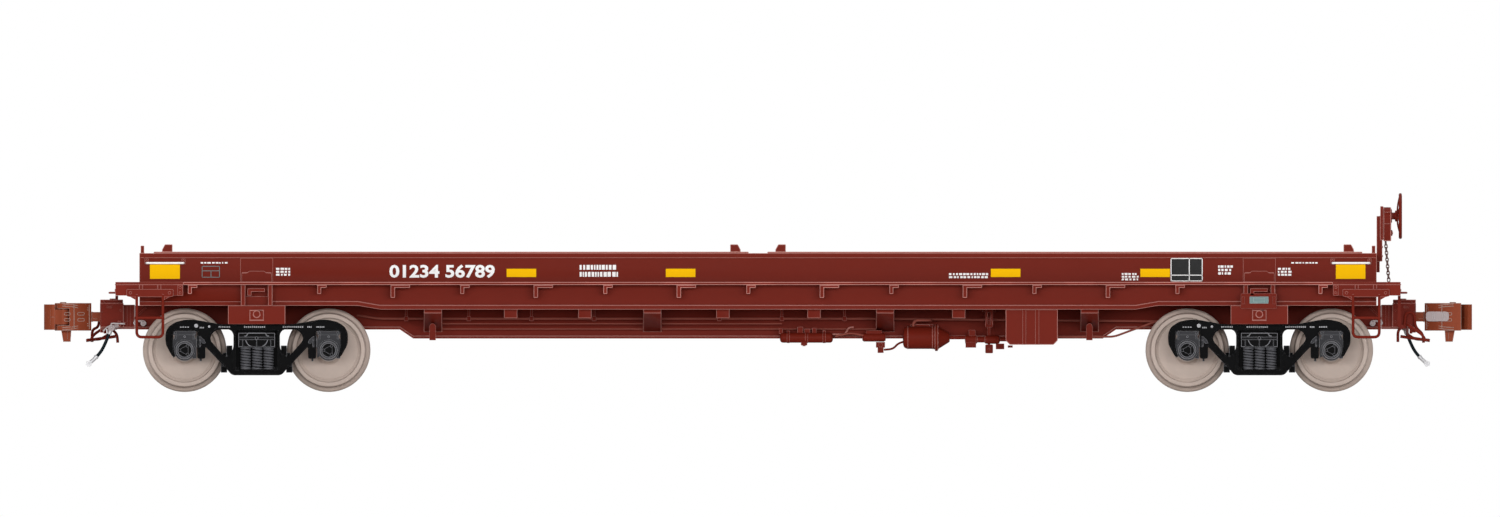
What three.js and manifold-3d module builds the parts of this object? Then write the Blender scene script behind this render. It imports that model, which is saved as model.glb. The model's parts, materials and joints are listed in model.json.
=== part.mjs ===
// HO scale (1:87.1) model flat car with raised side girders, two swivelling trucks and knuckle couplers.
// Units are millimetres, +Z is up, +X points to the B end (the hand brake end) and z = 0 is the level
// that the wheel flanges stand on. Left is +Y and right is -Y.
import * as THREE from 'three';
import { mergeVertices } from 'three/addons/utils/BufferGeometryUtils.js';
import Module from 'manifold-3d';

const manifold = await Module();
manifold.setup();

// ---------------------------------------------------------------------------------------------
// Driving dimensions
// ---------------------------------------------------------------------------------------------

const INCH = 25.4 / 87.1; // one full-size inch on the model

const TRUCK_CENTRE_X = 244.35 * INCH; // from the car's middle to each truck's pivot
const WHEEL_BASE = 70.2 * INCH; // between a truck's two axles
const BODY_HALF = 301.5 * INCH; // half length of the raised body
const PLATFORM_HALF = 313.2 * INCH; // half length over the end platforms
const PLATFORM_START = 280.2 * INCH; // where walkway and end platform meet

const FLOOR_Z = 12.28; // underside of the floor and of the girders' web
const FLANGE_DROP = 0.55; // the girders' bottom flange is lower by this between the trucks
const FLANGE_RAMP = [53.7, 56.9]; // from the middle, where that drop begins and ends
const WALKWAY_Z = 15.21;
const WALKWAY_TOP = 15.63;
const CHORD_Z = 19.05; // underside of the girders' top chord
const CHORD_TOP = 19.73;
const DECK_TOP = 19.45;
const STRIP_TOP = 19.94; // the load rests here

const GIRDER_IN = 13.4; // |y| of the inner edge of the girders' chords
const WEB_IN = 14.25;
const WEB_OUT = 14.75;
const CHORD_OUT = 15.0;
const SIDE = 17.6; // |y| of the walkways' outer edge
const SHEET = 0.5; // thickness of end walls and small plates
const FLANGE_THICK = 0.58; // the girders' bottom flange
const CLEARANCE = 0.02; // between moulded pieces that meet face to face

const SILL_HALF_WIDTH = 2.0;
const SILL_TOP = 12.0; // where the body bolsters bridge the centre sill
const SILL_BOTTOM = 8.87; // over the trucks
const SILL_BELLY = 7.59; // between the trucks
const SILL_RAMP = [49.0, 50.9];
const SILL_END = 88.55; // the draft boxes are bolted on here

const AXLE_Z = 5.94; // the flange radius
const FLANGE_R = 5.94;
const TREAD_R = 5.22;
const WHEEL_BACK = 7.25; // |y| of the wheels' inner faces
const WHEEL_FRONT = 10.0;
const JOURNAL_R = 0.7;
const FRAME_IN = 12.3; // |y| of the truck side frames
const FRAME_OUT = 14.2;

const COUPLER_PIVOT_X = 91.67;
const COUPLER_Z = 10.69; // centre line of the couplers
const BRAKE_WHEEL_Y = -6.5;
const BRAKE_WHEEL_Z = 25.01;
const BRAKE_WHEEL_R = 3.27;

// ---------------------------------------------------------------------------------------------
// Materials
// ---------------------------------------------------------------------------------------------

const finish = (color, roughness, metalness) => () =>
  new THREE.MeshStandardMaterial({ color, roughness, metalness });

const bodyPaint = finish(0x6e2419, 0.55, 0.0);
const couplerRust = finish(0x823d22, 0.6, 0.2);
const truckBlack = finish(0x0b0b0c, 0.5, 0.1);
const wheelSteel = finish(0xb2a49b, 0.5, 0.4);
const whiteWire = finish(0xf2f2ee, 0.5, 0.0);
const blackRubber = finish(0x0a1418, 0.7, 0.0);
const bareSteel = finish(0x8a8c90, 0.4, 0.9);

// ---------------------------------------------------------------------------------------------
// Shape helpers
// ---------------------------------------------------------------------------------------------

/** A box between two corners. */
function box(x0, x1, y0, y1, z0, z1) {
  const geometry = new THREE.BoxGeometry(Math.abs(x1 - x0), Math.abs(y1 - y0), Math.abs(z1 - z0));
  return geometry.translate((x0 + x1) / 2, (y0 + y1) / 2, (z0 + z1) / 2);
}

/** An outline of [a, b] points as a three.js shape. */
const outline = (points) => new THREE.Shape(points.map(([a, b]) => new THREE.Vector2(a, b)));

/** A shape drawn in X and Z, extruded along Y from y0 to y1. */
function alongY(shape, y0, y1, curveSegments = 6) {
  const geometry = new THREE.ExtrudeGeometry(shape, { depth: y1 - y0, bevelEnabled: false, curveSegments });
  return geometry.rotateX(Math.PI / 2).translate(0, y1, 0);
}

/** A shape drawn in Y and Z, extruded along X from x0 to x1. */
function alongX(shape, x0, x1, curveSegments = 6) {
  const geometry = new THREE.ExtrudeGeometry(shape, { depth: x1 - x0, bevelEnabled: false, curveSegments });
  const axes = new THREE.Matrix4().makeBasis(
    new THREE.Vector3(0, 1, 0), new THREE.Vector3(0, 0, 1), new THREE.Vector3(1, 0, 0));
  return geometry.applyMatrix4(axes).translate(x0, 0, 0);
}

/** A shape drawn in X and Y, extruded along Z from z0 to z1. */
function alongZ(shape, z0, z1, curveSegments = 6) {
  const geometry = new THREE.ExtrudeGeometry(shape, { depth: z1 - z0, bevelEnabled: false, curveSegments });
  return geometry.translate(0, 0, z0);
}

/** A round rod between two points. */
function rod(from, to, radius, sides = 12) {
  const start = new THREE.Vector3(...from);
  const end = new THREE.Vector3(...to);
  const along = end.clone().sub(start);
  const geometry = new THREE.CylinderGeometry(radius, radius, along.length(), sides);
  const turn = new THREE.Quaternion()
    .setFromUnitVectors(new THREE.Vector3(0, 1, 0), along.clone().normalize());
  const middle = start.add(end).multiplyScalar(0.5);
  return geometry.applyQuaternion(turn).translate(middle.x, middle.y, middle.z);
}

/** A path through points in even steps of its parameter, so that a sweep has one ring at each point. */
class BentPath extends THREE.Curve {
  constructor(points) {
    super();
    this.points = points;
  }

  getPoint(t, target = new THREE.Vector3()) {
    const place = t * (this.points.length - 1);
    const start = Math.min(Math.floor(place), this.points.length - 2);
    return target.lerpVectors(this.points[start], this.points[start + 1], place - start);
  }

  getUtoTmapping(u) {
    return u;
  }
}

/** A round wire that runs straight between points and turns each corner with a bend of the given radius. */
function wire(points, radius, bend = 0.5, sides = 6, stepsPerBend = 2) {
  const corners = points.map((point) => new THREE.Vector3(...point));
  const path = [corners[0]];
  for (let i = 1; i < corners.length - 1; i += 1) {
    const before = corners[i - 1].clone().sub(corners[i]).setLength(bend).add(corners[i]);
    const after = corners[i + 1].clone().sub(corners[i]).setLength(bend).add(corners[i]);
    path.push(...new THREE.QuadraticBezierCurve3(before, corners[i], after).getPoints(stepsPerBend));
  }
  path.push(corners[corners.length - 1]);
  const section = new THREE.Shape().absarc(0, 0, radius, 0, Math.PI * 2, false);
  const settings = { steps: path.length - 1, extrudePath: new BentPath(path), curveSegments: sides / 2 };
  return new THREE.ExtrudeGeometry(section, settings);
}

/** A solid for manifold-3d, made of a closed geometry's positions alone. */
function solid(geometry) {
  const bare = geometry.clone();
  bare.deleteAttribute('normal');
  bare.deleteAttribute('uv');
  const merged = mergeVertices(bare, 1e-5);
  return new manifold.Manifold(new manifold.Mesh({
    numProp: 3,
    vertProperties: new Float32Array(merged.attributes.position.array),
    triVerts: new Uint32Array(merged.index.array),
  }));
}

/** The geometry of a manifold-3d solid. */
function surface(shape) {
  const mesh = shape.getMesh();
  const geometry = new THREE.BufferGeometry();
  geometry.setAttribute('position', new THREE.BufferAttribute(new Float32Array(mesh.vertProperties), 3));
  geometry.setIndex(new THREE.BufferAttribute(new Uint32Array(mesh.triVerts), 1));
  return geometry;
}

/** Several geometries joined into one. */
function join(...geometries) {
  return surface(geometries.map(solid).reduce((whole, piece) => whole.add(piece)));
}

/** A geometry with others cut out of it. */
function cut(geometry, ...tools) {
  return surface(tools.map(solid).reduce((whole, tool) => whole.subtract(tool), solid(geometry)));
}

/** A named mesh. */
function piece(name, geometry, material) {
  const mesh = new THREE.Mesh(geometry, material());
  mesh.name = name;
  return mesh;
}

/** A group that is placed at x and turned half round about Z at the A end. */
function placed(x, end, ...children) {
  const group = new THREE.Group();
  group.add(...children);
  group.position.x = x;
  group.rotation.z = end === 'a' ? Math.PI : 0;
  return group;
}

/** The same piece on the left and on the right. build(name) makes the left one, at +Y. */
function bothSides(build) {
  const left = build('left');
  const right = build('right');
  right.scale.y = -1;
  return [left, right];
}

const car = new THREE.Group();

// ---------------------------------------------------------------------------------------------
// Body: deck, girders, load strips, walkways and end platforms
// ---------------------------------------------------------------------------------------------

/** The deck sheet with its turned-down end walls, which reach the girders' webs between their flanges. */
function deckPlate() {
  const wall = BODY_HALF - SHEET;
  const reach = WEB_IN - CLEARANCE;
  const low = FLOOR_Z + FLANGE_THICK + CLEARANCE;
  const high = CHORD_Z - CLEARANCE;
  return piece('deck_plate', join(
    box(-BODY_HALF, BODY_HALF, -GIRDER_IN, GIRDER_IN, CHORD_Z, DECK_TOP),
    box(wall, BODY_HALF, -GIRDER_IN, GIRDER_IN, FLOOR_Z, DECK_TOP),
    box(wall, BODY_HALF, -reach, reach, low, high),
    box(-BODY_HALF, -wall, -GIRDER_IN, GIRDER_IN, FLOOR_Z, DECK_TOP),
    box(-BODY_HALF, -wall, -reach, reach, low, high)), bodyPaint);
}

/** The lower edge of a girder, as [x, z] points from the A end to the B end. */
function girderLowerEdge(drop) {
  const [near, far] = FLANGE_RAMP;
  const low = FLOOR_Z + drop;
  return [[-BODY_HALF, low], [-far, low], [-near, low - FLANGE_DROP],
    [near, low - FLANGE_DROP], [far, low], [BODY_HALF, low]];
}

/** One deep side girder: web, top chord, bottom flange, bolster pads and posts. */
function sideGirder(side) {
  const flange = [...girderLowerEdge(0), ...girderLowerEdge(FLANGE_THICK).reverse()];
  const web = [...girderLowerEdge(0.1), [BODY_HALF, CHORD_TOP], [-BODY_HALF, CHORD_TOP]];
  const pieces = [
    box(-BODY_HALF, BODY_HALF, GIRDER_IN, CHORD_OUT, CHORD_Z, CHORD_TOP),
    alongY(outline(flange), GIRDER_IN, CHORD_OUT + 0.1),
    alongY(outline(web), WEB_IN, WEB_OUT),
  ];
  const [padHalf, padTop, padFace] = [2.1, 17.0, WEB_OUT + 0.25];
  const [postOffset, postHalf, postFace] = [1.92, 0.29, 16.6];
  for (const x of [-TRUCK_CENTRE_X, TRUCK_CENTRE_X]) {
    pieces.push(box(x - padHalf, x + padHalf, WEB_IN, padFace, WALKWAY_TOP, padTop));
    for (const post of [x - postOffset, x + postOffset]) {
      pieces.push(box(post - postHalf, post + postHalf, WEB_IN, postFace, FLOOR_Z, WALKWAY_Z));
    }
  }
  const [endPost, endPostHalf, endPostTop] = [BODY_HALF - 0.43, 0.25, 20.79];
  for (const x of [-endPost, endPost]) {
    pieces.push(box(x - endPostHalf, x + endPostHalf, WEB_IN, WEB_OUT, CHORD_Z, endPostTop));
  }
  return piece(`side_girder_${side}`, join(...pieces), bodyPaint);
}

/** A load strip on half of one girder, with a stop block near each end that slopes away from the load. */
function loadStrip(side, end) {
  const [inner, outer] = [1.33, 85.9];
  const [blockLength, blockTop] = [1.48, 20.98];
  const [slopeX, slopeZ] = [0.4, 0.75];
  const stop = (x, slant) => {
    const [highEdge, slopedEdge] = slant > 0 ? [x, x + blockLength] : [x + blockLength, x];
    return alongY(outline([
      [highEdge, CHORD_TOP], [slopedEdge, CHORD_TOP], [slopedEdge, blockTop - slopeZ],
      [slopedEdge - slant * slopeX, blockTop], [highEdge, blockTop],
    ]), WEB_IN - 0.25, CHORD_OUT - 0.1);
  };
  const strip = piece(`load_strip_${end}_${side}`, join(
    box(inner, outer, WEB_IN - 0.45, CHORD_OUT, CHORD_TOP, STRIP_TOP),
    stop(2.47, -1),
    stop(83.22, 1)), bodyPaint);
  strip.scale.x = end === 'a' ? -1 : 1;
  return strip;
}

/** One walkway with the hooked brackets below it. */
function walkway(side) {
  const [pitch, firstSmall, firstLarge] = [20.33, -62.65, -52.23];
  const small = { width: 1.35, height: 1.28, leg: 0.57 };
  const large = { width: 2.77, height: 1.83, leg: 0.64 };
  const [tip, armDepth] = [SIDE - 0.35, 0.42];
  const bracket = (x, { width, height, leg }) => [
    box(x, x + leg, WEB_OUT, tip, WALKWAY_Z - height, WALKWAY_Z),
    box(x, x + width, WEB_OUT, tip, WALKWAY_Z - armDepth, WALKWAY_Z),
  ];
  const pieces = [box(-PLATFORM_START, PLATFORM_START, WEB_OUT, SIDE, WALKWAY_Z, WALKWAY_TOP)];
  pieces.push(...bracket(-81.04, small));
  for (let k = 0; k < 8; k += 1) {
    pieces.push(...bracket(firstSmall + k * pitch, small));
  }
  for (let k = 0; k < 6; k += 1) {
    pieces.push(...bracket(firstLarge + k * pitch, large));
  }
  return piece(`walkway_${side}`, join(...pieces), bodyPaint);
}

/** The low platform round one end of the body, with its end sill, side skirts and end handholds. */
function endPlatform(end) {
  const [skirtBottom, skirt] = [13.7, 0.4];
  const plate = cut(
    box(PLATFORM_START, PLATFORM_HALF, -SIDE, SIDE, skirtBottom, WALKWAY_TOP),
    box(0, BODY_HALF, -WEB_OUT, WEB_OUT, 0, CHORD_Z),
    box(BODY_HALF - 1, PLATFORM_HALF - skirt, -SIDE + skirt, SIDE - skirt, 0, WALKWAY_Z),
    box(PLATFORM_START + 0.7, BODY_HALF, -SIDE + skirt, SIDE - skirt, 0, WALKWAY_Z));
  const bars = [];
  const [standOff, barZ, wireR] = [0.85, 14.1, 0.15];
  const [handholdStart, handholdEnd] = [8.5, 15.2];
  for (const y of [-1, 1]) {
    const [inner, outer] = [y * handholdStart, y * handholdEnd];
    bars.push(wire([[PLATFORM_HALF - 0.1, inner, barZ], [PLATFORM_HALF + standOff, inner, barZ],
      [PLATFORM_HALF + standOff, outer, barZ], [PLATFORM_HALF - 0.1, outer, barZ]], wireR, 0.3));
  }
  return placed(0, end, piece(`end_platform_${end}`, join(plate, ...bars), bodyPaint));
}

car.add(deckPlate(), ...bothSides(sideGirder), ...bothSides(walkway));
for (const end of ['a', 'b']) {
  car.add(...bothSides((side) => loadStrip(side, end)), endPlatform(end));
}

// ---------------------------------------------------------------------------------------------
// Underframe: floor, centre sill, cross members, body bolsters and the weight
// ---------------------------------------------------------------------------------------------

const FLOOR_TOP = 12.7;
const BOLSTER_HALF = 4.07;
const SCREW_R = 0.8;

/** The moulded underframe: floor plate, fish-belly centre sill, crossbearers and crossties. */
function underframe() {
  const [near, far] = SILL_RAMP;
  const belly = (z) => [[-SILL_END, SILL_BOTTOM + z], [-far, SILL_BOTTOM + z], [-near, SILL_BELLY + z],
    [near, SILL_BELLY + z], [far, SILL_BOTTOM + z], [SILL_END, SILL_BOTTOM + z]];
  const sillFlange = 0.36;
  const inside = BODY_HALF - SHEET;
  const web = [...belly(0.1), [SILL_END, FLOOR_Z], [inside, FLOOR_Z], [inside, FLOOR_Z + 0.1],
    [-inside, FLOOR_Z + 0.1], [-inside, FLOOR_Z], [-SILL_END, FLOOR_Z]];
  const pieces = [
    box(-inside, inside, -GIRDER_IN, GIRDER_IN, FLOOR_Z, FLOOR_TOP),
    alongY(outline(web), -SILL_HALF_WIDTH, SILL_HALF_WIDTH),
    alongY(outline([...belly(0), ...belly(sillFlange).reverse()]), -2.5, 2.5),
  ];
  const [sillSide, deepZ, shallowZ] = [2.4, 8.6, 11.2];
  const crossbearer = outline([
    [-GIRDER_IN, FLOOR_Z + 0.1], [-GIRDER_IN, shallowZ], [-sillSide, deepZ], [sillSide, deepZ],
    [GIRDER_IN, shallowZ], [GIRDER_IN, FLOOR_Z + 0.1]]);
  const [bearerHalf, tieHalf, tieZ] = [1.25, 0.92, 10.5];
  for (const x of [-46.2, -15.02, 18.07, 47.13]) {
    pieces.push(alongX(crossbearer, x - bearerHalf, x + bearerHalf));
  }
  for (const x of [-35.15, -24.6, -4.99, 7.96, 28.54]) {
    pieces.push(box(x - tieHalf, x + tieHalf, -GIRDER_IN, GIRDER_IN, tieZ, FLOOR_Z + 0.1));
  }
  const cuts = [];
  for (const x of [-TRUCK_CENTRE_X, TRUCK_CENTRE_X]) {
    cuts.push(box(x - BOLSTER_HALF, x + BOLSTER_HALF, -SILL_HALF_WIDTH, SILL_HALF_WIDTH, SILL_TOP, FLOOR_Z));
    cuts.push(rod([x, 0, SILL_BOTTOM - 1], [x, 0, SILL_TOP - 0.4], SCREW_R + 0.15, 16));
  }
  return piece('underframe', cut(join(...pieces), ...cuts), bodyPaint);
}

/** One body bolster, from side to side over the truck, with a jack pad at each end. */
function bodyBolster(end) {
  const [frameClear, endClear, tip] = [10.45, 9.66, 16.2];
  const half = [[SILL_HALF_WIDTH, SILL_TOP], [SILL_HALF_WIDTH, 9.9], [11.4, 9.9], [11.4, frameClear],
    [15.3, frameClear], [15.3, endClear], [tip, endClear], [tip, FLOOR_Z]];
  const section = [...half, ...half.map(([y, z]) => [-y, z]).reverse()];
  const pieces = [alongX(outline(section), -BOLSTER_HALF, BOLSTER_HALF)];
  const [padHalf, padZ, padFace] = [0.95, [10.18, 11.6], tip + 0.35];
  const [bossR, bossZ, bossFace] = [0.5, 11.07, tip + 0.55];
  for (const y of [-1, 1]) {
    pieces.push(box(-padHalf, padHalf, y * (tip - 0.1), y * padFace, ...padZ));
    pieces.push(rod([0, y * tip, bossZ], [0, y * bossFace, bossZ], bossR, 12));
  }
  const x = end === 'a' ? -TRUCK_CENTRE_X : TRUCK_CENTRE_X;
  return placed(x, 'b', piece(`body_bolster_${end}`, join(...pieces), bodyPaint));
}

/** The steel weight that lies on the floor inside the body. */
function carWeight() {
  const [halfLength, halfWidth, height] = [68, 12.4, 2.3];
  return piece('car_weight',
    box(-halfLength, halfLength, -halfWidth, halfWidth, FLOOR_TOP, FLOOR_TOP + height), bareSteel);
}

car.add(underframe(), bodyBolster('a'), bodyBolster('b'), carWeight());

// ---------------------------------------------------------------------------------------------
// Stirrup steps and grab irons at the four corners
// ---------------------------------------------------------------------------------------------

/** A stirrup step: a bolted plate and a bent rod with one rung. */
function stirrup(side, end) {
  const [plateStart, plateEnd] = [83.1, 89.75];
  const [plateLow, plateHigh, plateThick] = [13.6, 14.61, 0.26];
  const [loopStart, loopEnd, loopZ, rungZ, rodR] = [84.58, 88.3, 7.8, 10.55, 0.205];
  const middle = SIDE + plateThick / 2;
  const step = piece(`stirrup_${end}_${side}`, join(
    box(plateStart, plateEnd, SIDE, SIDE + plateThick, plateLow, plateHigh),
    wire([[loopStart, middle, 13.7], [loopStart, middle, loopZ], [loopEnd, middle, loopZ],
      [loopEnd, middle, 13.7]], rodR, 0.55, 8),
    rod([loopStart, middle, rungZ], [loopEnd, middle, rungZ], rodR, 8)), bodyPaint);
  step.scale.x = end === 'a' ? -1 : 1;
  return step;
}

/** A grab iron: a wire that stands off the girder's web. */
function grabIron(side, end) {
  const [start, finishX, z, standOff, wireR] = [81.65, 86.9, 18.32, 0.8, 0.15];
  const [footHalf, footThick, footLow, footHigh] = [0.28, 0.2, 18.1, 18.95];
  const foot = (x) => box(x - footHalf, x + footHalf, WEB_OUT, WEB_OUT + footThick, footLow, footHigh);
  const iron = piece(`grab_iron_${end}_${side}`, join(
    wire([[start, WEB_OUT, z], [start, WEB_OUT + standOff, z], [finishX, WEB_OUT + standOff, z],
      [finishX, WEB_OUT, z]], wireR, 0.25),
    foot(start),
    foot(finishX)), whiteWire);
  iron.scale.x = end === 'a' ? -1 : 1;
  return iron;
}

for (const end of ['a', 'b']) {
  car.add(...bothSides((side) => stirrup(side, end)), ...bothSides((side) => grabIron(side, end)));
}

// ---------------------------------------------------------------------------------------------
// Hand brake at the B end
// ---------------------------------------------------------------------------------------------

const STAND_X = BODY_HALF + 0.82; // outer face of the brake stand's post
const HOUSING_X = [STAND_X + 0.15, 90.0];
const SHAFT_R = 0.5;

/** The post, the plate that carries the gear housing and the foot. */
function brakeStand() {
  const y = BRAKE_WHEEL_Y;
  const [postHalf, postZ] = [1.1, [18.55, 25.0]];
  const [footHalf, footThick, footZ] = [0.8, 0.45, [17.0, 18.6]];
  const [plateHalf, plateX, plateZ] = [1.5, [STAND_X - 0.3, STAND_X + 0.15], [21.6, 26.4]];
  return piece('brake_stand', join(
    box(BODY_HALF, STAND_X, y - postHalf, y + postHalf, ...postZ),
    box(BODY_HALF, BODY_HALF + footThick, y - footHalf, y + footHalf, ...footZ),
    box(...plateX, y - plateHalf, y + plateHalf, ...plateZ)), bodyPaint);
}

/** The gear housing, round topped, with the hole for the brake wheel's shaft. */
function gearHousing() {
  const [low, radius] = [21.43, 1.35];
  const top = BRAKE_WHEEL_Z - 0.1;
  const face = new THREE.Shape();
  face.moveTo(BRAKE_WHEEL_Y - radius * 0.75, low);
  face.lineTo(BRAKE_WHEEL_Y + radius * 0.75, low);
  face.lineTo(BRAKE_WHEEL_Y + radius, top);
  face.absarc(BRAKE_WHEEL_Y, top, radius, 0, Math.PI, false);
  face.closePath();
  return piece('brake_gear_housing', cut(
    alongX(face, HOUSING_X[0], HOUSING_X[1], 10),
    rod([HOUSING_X[1] - 0.6, BRAKE_WHEEL_Y, BRAKE_WHEEL_Z], [HOUSING_X[1] + 1, BRAKE_WHEEL_Y, BRAKE_WHEEL_Z],
      SHAFT_R + 0.1, 16)), bodyPaint);
}

/** The dished brake wheel with its shaft, hub, five spokes and rim. */
function brakeWheel() {
  const [hubX, rimX, rimHalf] = [90.75, 91.3, 0.25];
  const [hubR, spokeR] = [0.75, 0.2];
  const rim = new THREE.TorusGeometry(BRAKE_WHEEL_R - rimHalf, rimHalf, 5, 24).rotateY(Math.PI / 2);
  const pieces = [
    rim.translate(rimX, 0, 0),
    rod([HOUSING_X[1] - 0.4, 0, 0], [hubX, 0, 0], SHAFT_R, 16),
    rod([hubX - 0.15, 0, 0], [hubX + 0.35, 0, 0], hubR, 16),
  ];
  for (let k = 0; k < 5; k += 1) {
    const angle = Math.PI / 2 + k * Math.PI * 0.4;
    const reach = BRAKE_WHEEL_R - rimHalf;
    pieces.push(rod([hubX + 0.1, 0, 0], [rimX, reach * Math.cos(angle), reach * Math.sin(angle)], spokeR, 6));
  }
  const wheel = piece('brake_wheel', join(...pieces), bodyPaint);
  wheel.position.set(0, BRAKE_WHEEL_Y, BRAKE_WHEEL_Z);
  return wheel;
}

/** The brake chain, taut from the housing to the platform. */
function brakeChain() {
  const y = BRAKE_WHEEL_Y;
  return piece('brake_chain', rod([89.2, y, 21.35], [89.7, y, WALKWAY_TOP + 0.06], 0.22, 8), bareSteel);
}

car.add(brakeStand(), gearHousing(), brakeWheel(), brakeChain());

// ---------------------------------------------------------------------------------------------
// Couplers, draft boxes, uncoupling levers and air hoses
// ---------------------------------------------------------------------------------------------

const DRAFT_FRONT = 93.5;
const DRAFT_BACK = SILL_END;
const DRAFT_HALF_WIDTH = 3.3;
const CAVITY_Z = [9.86, 11.52];
const PIN_X = 98.75;
const PIN_Y = 1.75;

/** The draft box that holds the coupler's shank on a post. It is open at the front. */
function draftBox(end) {
  const shell = join(
    box(90.18, DRAFT_FRONT, -DRAFT_HALF_WIDTH, DRAFT_HALF_WIDTH, 9.2, 12.59),
    box(DRAFT_BACK + 0.02, 90.3, -2.6, 2.6, 9.2, 12.4),
    box(90.25, DRAFT_FRONT, -2.7, 2.7, 12.5, 13.13),
    box(DRAFT_BACK + 0.02, DRAFT_FRONT, -2.3, 2.3, 8.93, 9.3),
    box(92.9, DRAFT_FRONT, -0.9, 0.9, 8.43, 9.0));
  const cavity = box(89.6, DRAFT_FRONT + 1, -2.7, 2.7, CAVITY_Z[0], CAVITY_Z[1]);
  const rearWall = box(88, 90.4, -4, -1.9, 0, 20);
  const rearWallLeft = box(88, 90.4, 1.9, 4, 0, 20);
  const post = rod([COUPLER_PIVOT_X, 0, CAVITY_Z[0] - 0.2], [COUPLER_PIVOT_X, 0, CAVITY_Z[1] + 0.2], 0.7, 16);
  const room = cut(cavity, rearWall, rearWallLeft);
  return piece(`draft_box_${end}`, join(cut(shell, room), post), bodyPaint);
}

/** The coupler: ringed shank, head with guard arm, lugs and pin for the knuckle, and the lock lever. */
function coupler(end) {
  const [headLow, headTop] = [8.71, 12.64];
  const [shankLow, shankTop] = [10.01, 11.37];
  const head = outline([
    [94.75, -1.2], [95.5, -1.9], [97.6, -2.3], [99.2, -2.7], [99.95, -2.75], [99.95, -2.1],
    [98.9, -1.6], [98.2, -0.6], [98.1, 0.6], [99.0, 0.75], [99.6, 1.2], [99.65, 2.2], [99.0, 2.6],
    [97.6, 2.5], [95.6, 1.9], [94.75, 1.2]]);
  const knuckleSlot = join(
    rod([PIN_X, PIN_Y, 9.45], [PIN_X, PIN_Y, 11.85], 1.15, 16),
    box(PIN_X, PIN_X + 3, 0.2, 4, 9.45, 11.85));
  const lever = alongY(outline([[97.7, 7.13], [98.75, 7.13], [99.05, headLow + 0.1], [97.6, headLow + 0.1]]),
    -0.5, 0.5);
  const ring = rod([COUPLER_PIVOT_X, 0, shankLow], [COUPLER_PIVOT_X, 0, shankTop], 1.55, 16);
  const bore = rod([COUPLER_PIVOT_X, 0, 9], [COUPLER_PIVOT_X, 0, 12.5], 0.85, 16);
  const shank = box(COUPLER_PIVOT_X + 0.8, 95, -0.95, 0.95, shankLow, shankTop);
  return piece(`coupler_${end}`, join(
    cut(alongZ(head, headLow, headTop), knuckleSlot),
    cut(join(ring, shank), bore),
    rod([PIN_X, PIN_Y, 9.2], [PIN_X, PIN_Y, 12.1], 0.36, 12),
    lever), couplerRust);
}

/** The knuckle, hinged on the head's pin, hooked towards the guard arm. */
function knuckle(end) {
  const [hubLow, hubTop] = [9.6, 11.7];
  const [noseLow, noseTop] = [8.83, 12.45];
  const hub = rod([PIN_X, PIN_Y, hubLow], [PIN_X, PIN_Y, hubTop], 0.85, 16);
  const neck = alongZ(outline([[PIN_X, 1.2], [99.6, 1.0], [100.6, 1.0], [100.6, 2.3], [PIN_X, 2.55]]),
    hubLow, hubTop);
  const nose = alongZ(outline([
    [99.95, 0.95], [100.5, 0.2], [100.4, -0.6], [100.9, -0.95], [101.48, -0.6], [101.48, 1.2],
    [101.1, 2.0], [100.3, 2.4], [99.95, 2.4]]), noseLow, noseTop);
  const pinHole = rod([PIN_X, PIN_Y, 8], [PIN_X, PIN_Y, 13], 0.48, 16);
  return piece(`knuckle_${end}`, cut(join(hub, neck, nose), pinHole), couplerRust);
}

/** The uncoupling lever: hanger, handle at the corner and the arm that reaches under the coupler head. */
function uncouplingLever(end) {
  const hangerX = PLATFORM_HALF - 0.2;
  return piece(`uncoupling_lever_${end}`, join(
    wire([[94.9, -13.4, 7.2], [94.5, -13.4, 8.1], [92.3, -13.0, 9.6], [92.3, -4.6, 8.2], [93.4, -3.6, 7.5],
      [95.3, -0.6, 7.4]], 0.2, 0.5),
    box(hangerX - 0.2, hangerX + 0.2, -11.3, -10.5, 9.2, 13.68),
    box(hangerX, 92.4, -11.1, -10.7, 9.15, 9.5)), bodyPaint);
}

/** The air hose with its angle cock and glad hand, moulded rigid. */
function airHose(end) {
  const y = 4.4;
  const hose = new THREE.CatmullRomCurve3([
    new THREE.Vector3(92.2, y, 8.35), new THREE.Vector3(92.75, y, 6.95), new THREE.Vector3(93.35, y, 5.75),
    new THREE.Vector3(94.1, y, 4.85)]);
  const section = new THREE.Shape().absarc(0, 0, 0.2, 0, Math.PI * 2, false);
  const tube = new THREE.ExtrudeGeometry(section, { steps: 8, extrudePath: hose, curveSegments: 4 });
  return piece(`air_hose_${end}`, join(
    tube,
    rod([94.0, y, 4.95], [94.9, y, 4.2], 0.27, 8),
    rod([95.1, y - 0.2, 4.0], [95.1, y + 0.2, 4.0], 0.42, 10),
    rod([92.25, y, 8.2], [91.95, y, 9.1], 0.3, 8),
    rod([92.0, y, 9.0], [90.9, y, 9.5], 0.33, 8),
    box(90.6, 91.0, DRAFT_HALF_WIDTH, y + 0.3, 9.3, 10.1)), blackRubber);
}

for (const end of ['a', 'b']) {
  car.add(placed(0, end, draftBox(end), coupler(end), knuckle(end), uncouplingLever(end), airHose(end)));
}

// ---------------------------------------------------------------------------------------------
// Brake gear and equipment below the floor
// ---------------------------------------------------------------------------------------------

const SILL_SIDE = -SILL_HALF_WIDTH; // equipment hangs on the right face of the centre sill

/** The auxiliary reservoir, a tank lying along the sill on two brackets. */
function reservoir() {
  const [x0, x1, y, z, radius] = [3.11, 10.66, -3.9, 7.72, 0.72];
  return piece('air_reservoir', join(
    rod([x0, y, z], [x1, y, z], radius, 16),
    box(4.6, 5.0, y, SILL_SIDE, 8.0, 9.0),
    box(8.8, 9.2, y, SILL_SIDE, 8.0, 9.0),
    box(5.83, 8.1, y - 0.4, y + 0.4, 6.77, 7.3)), bodyPaint);
}

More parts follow.
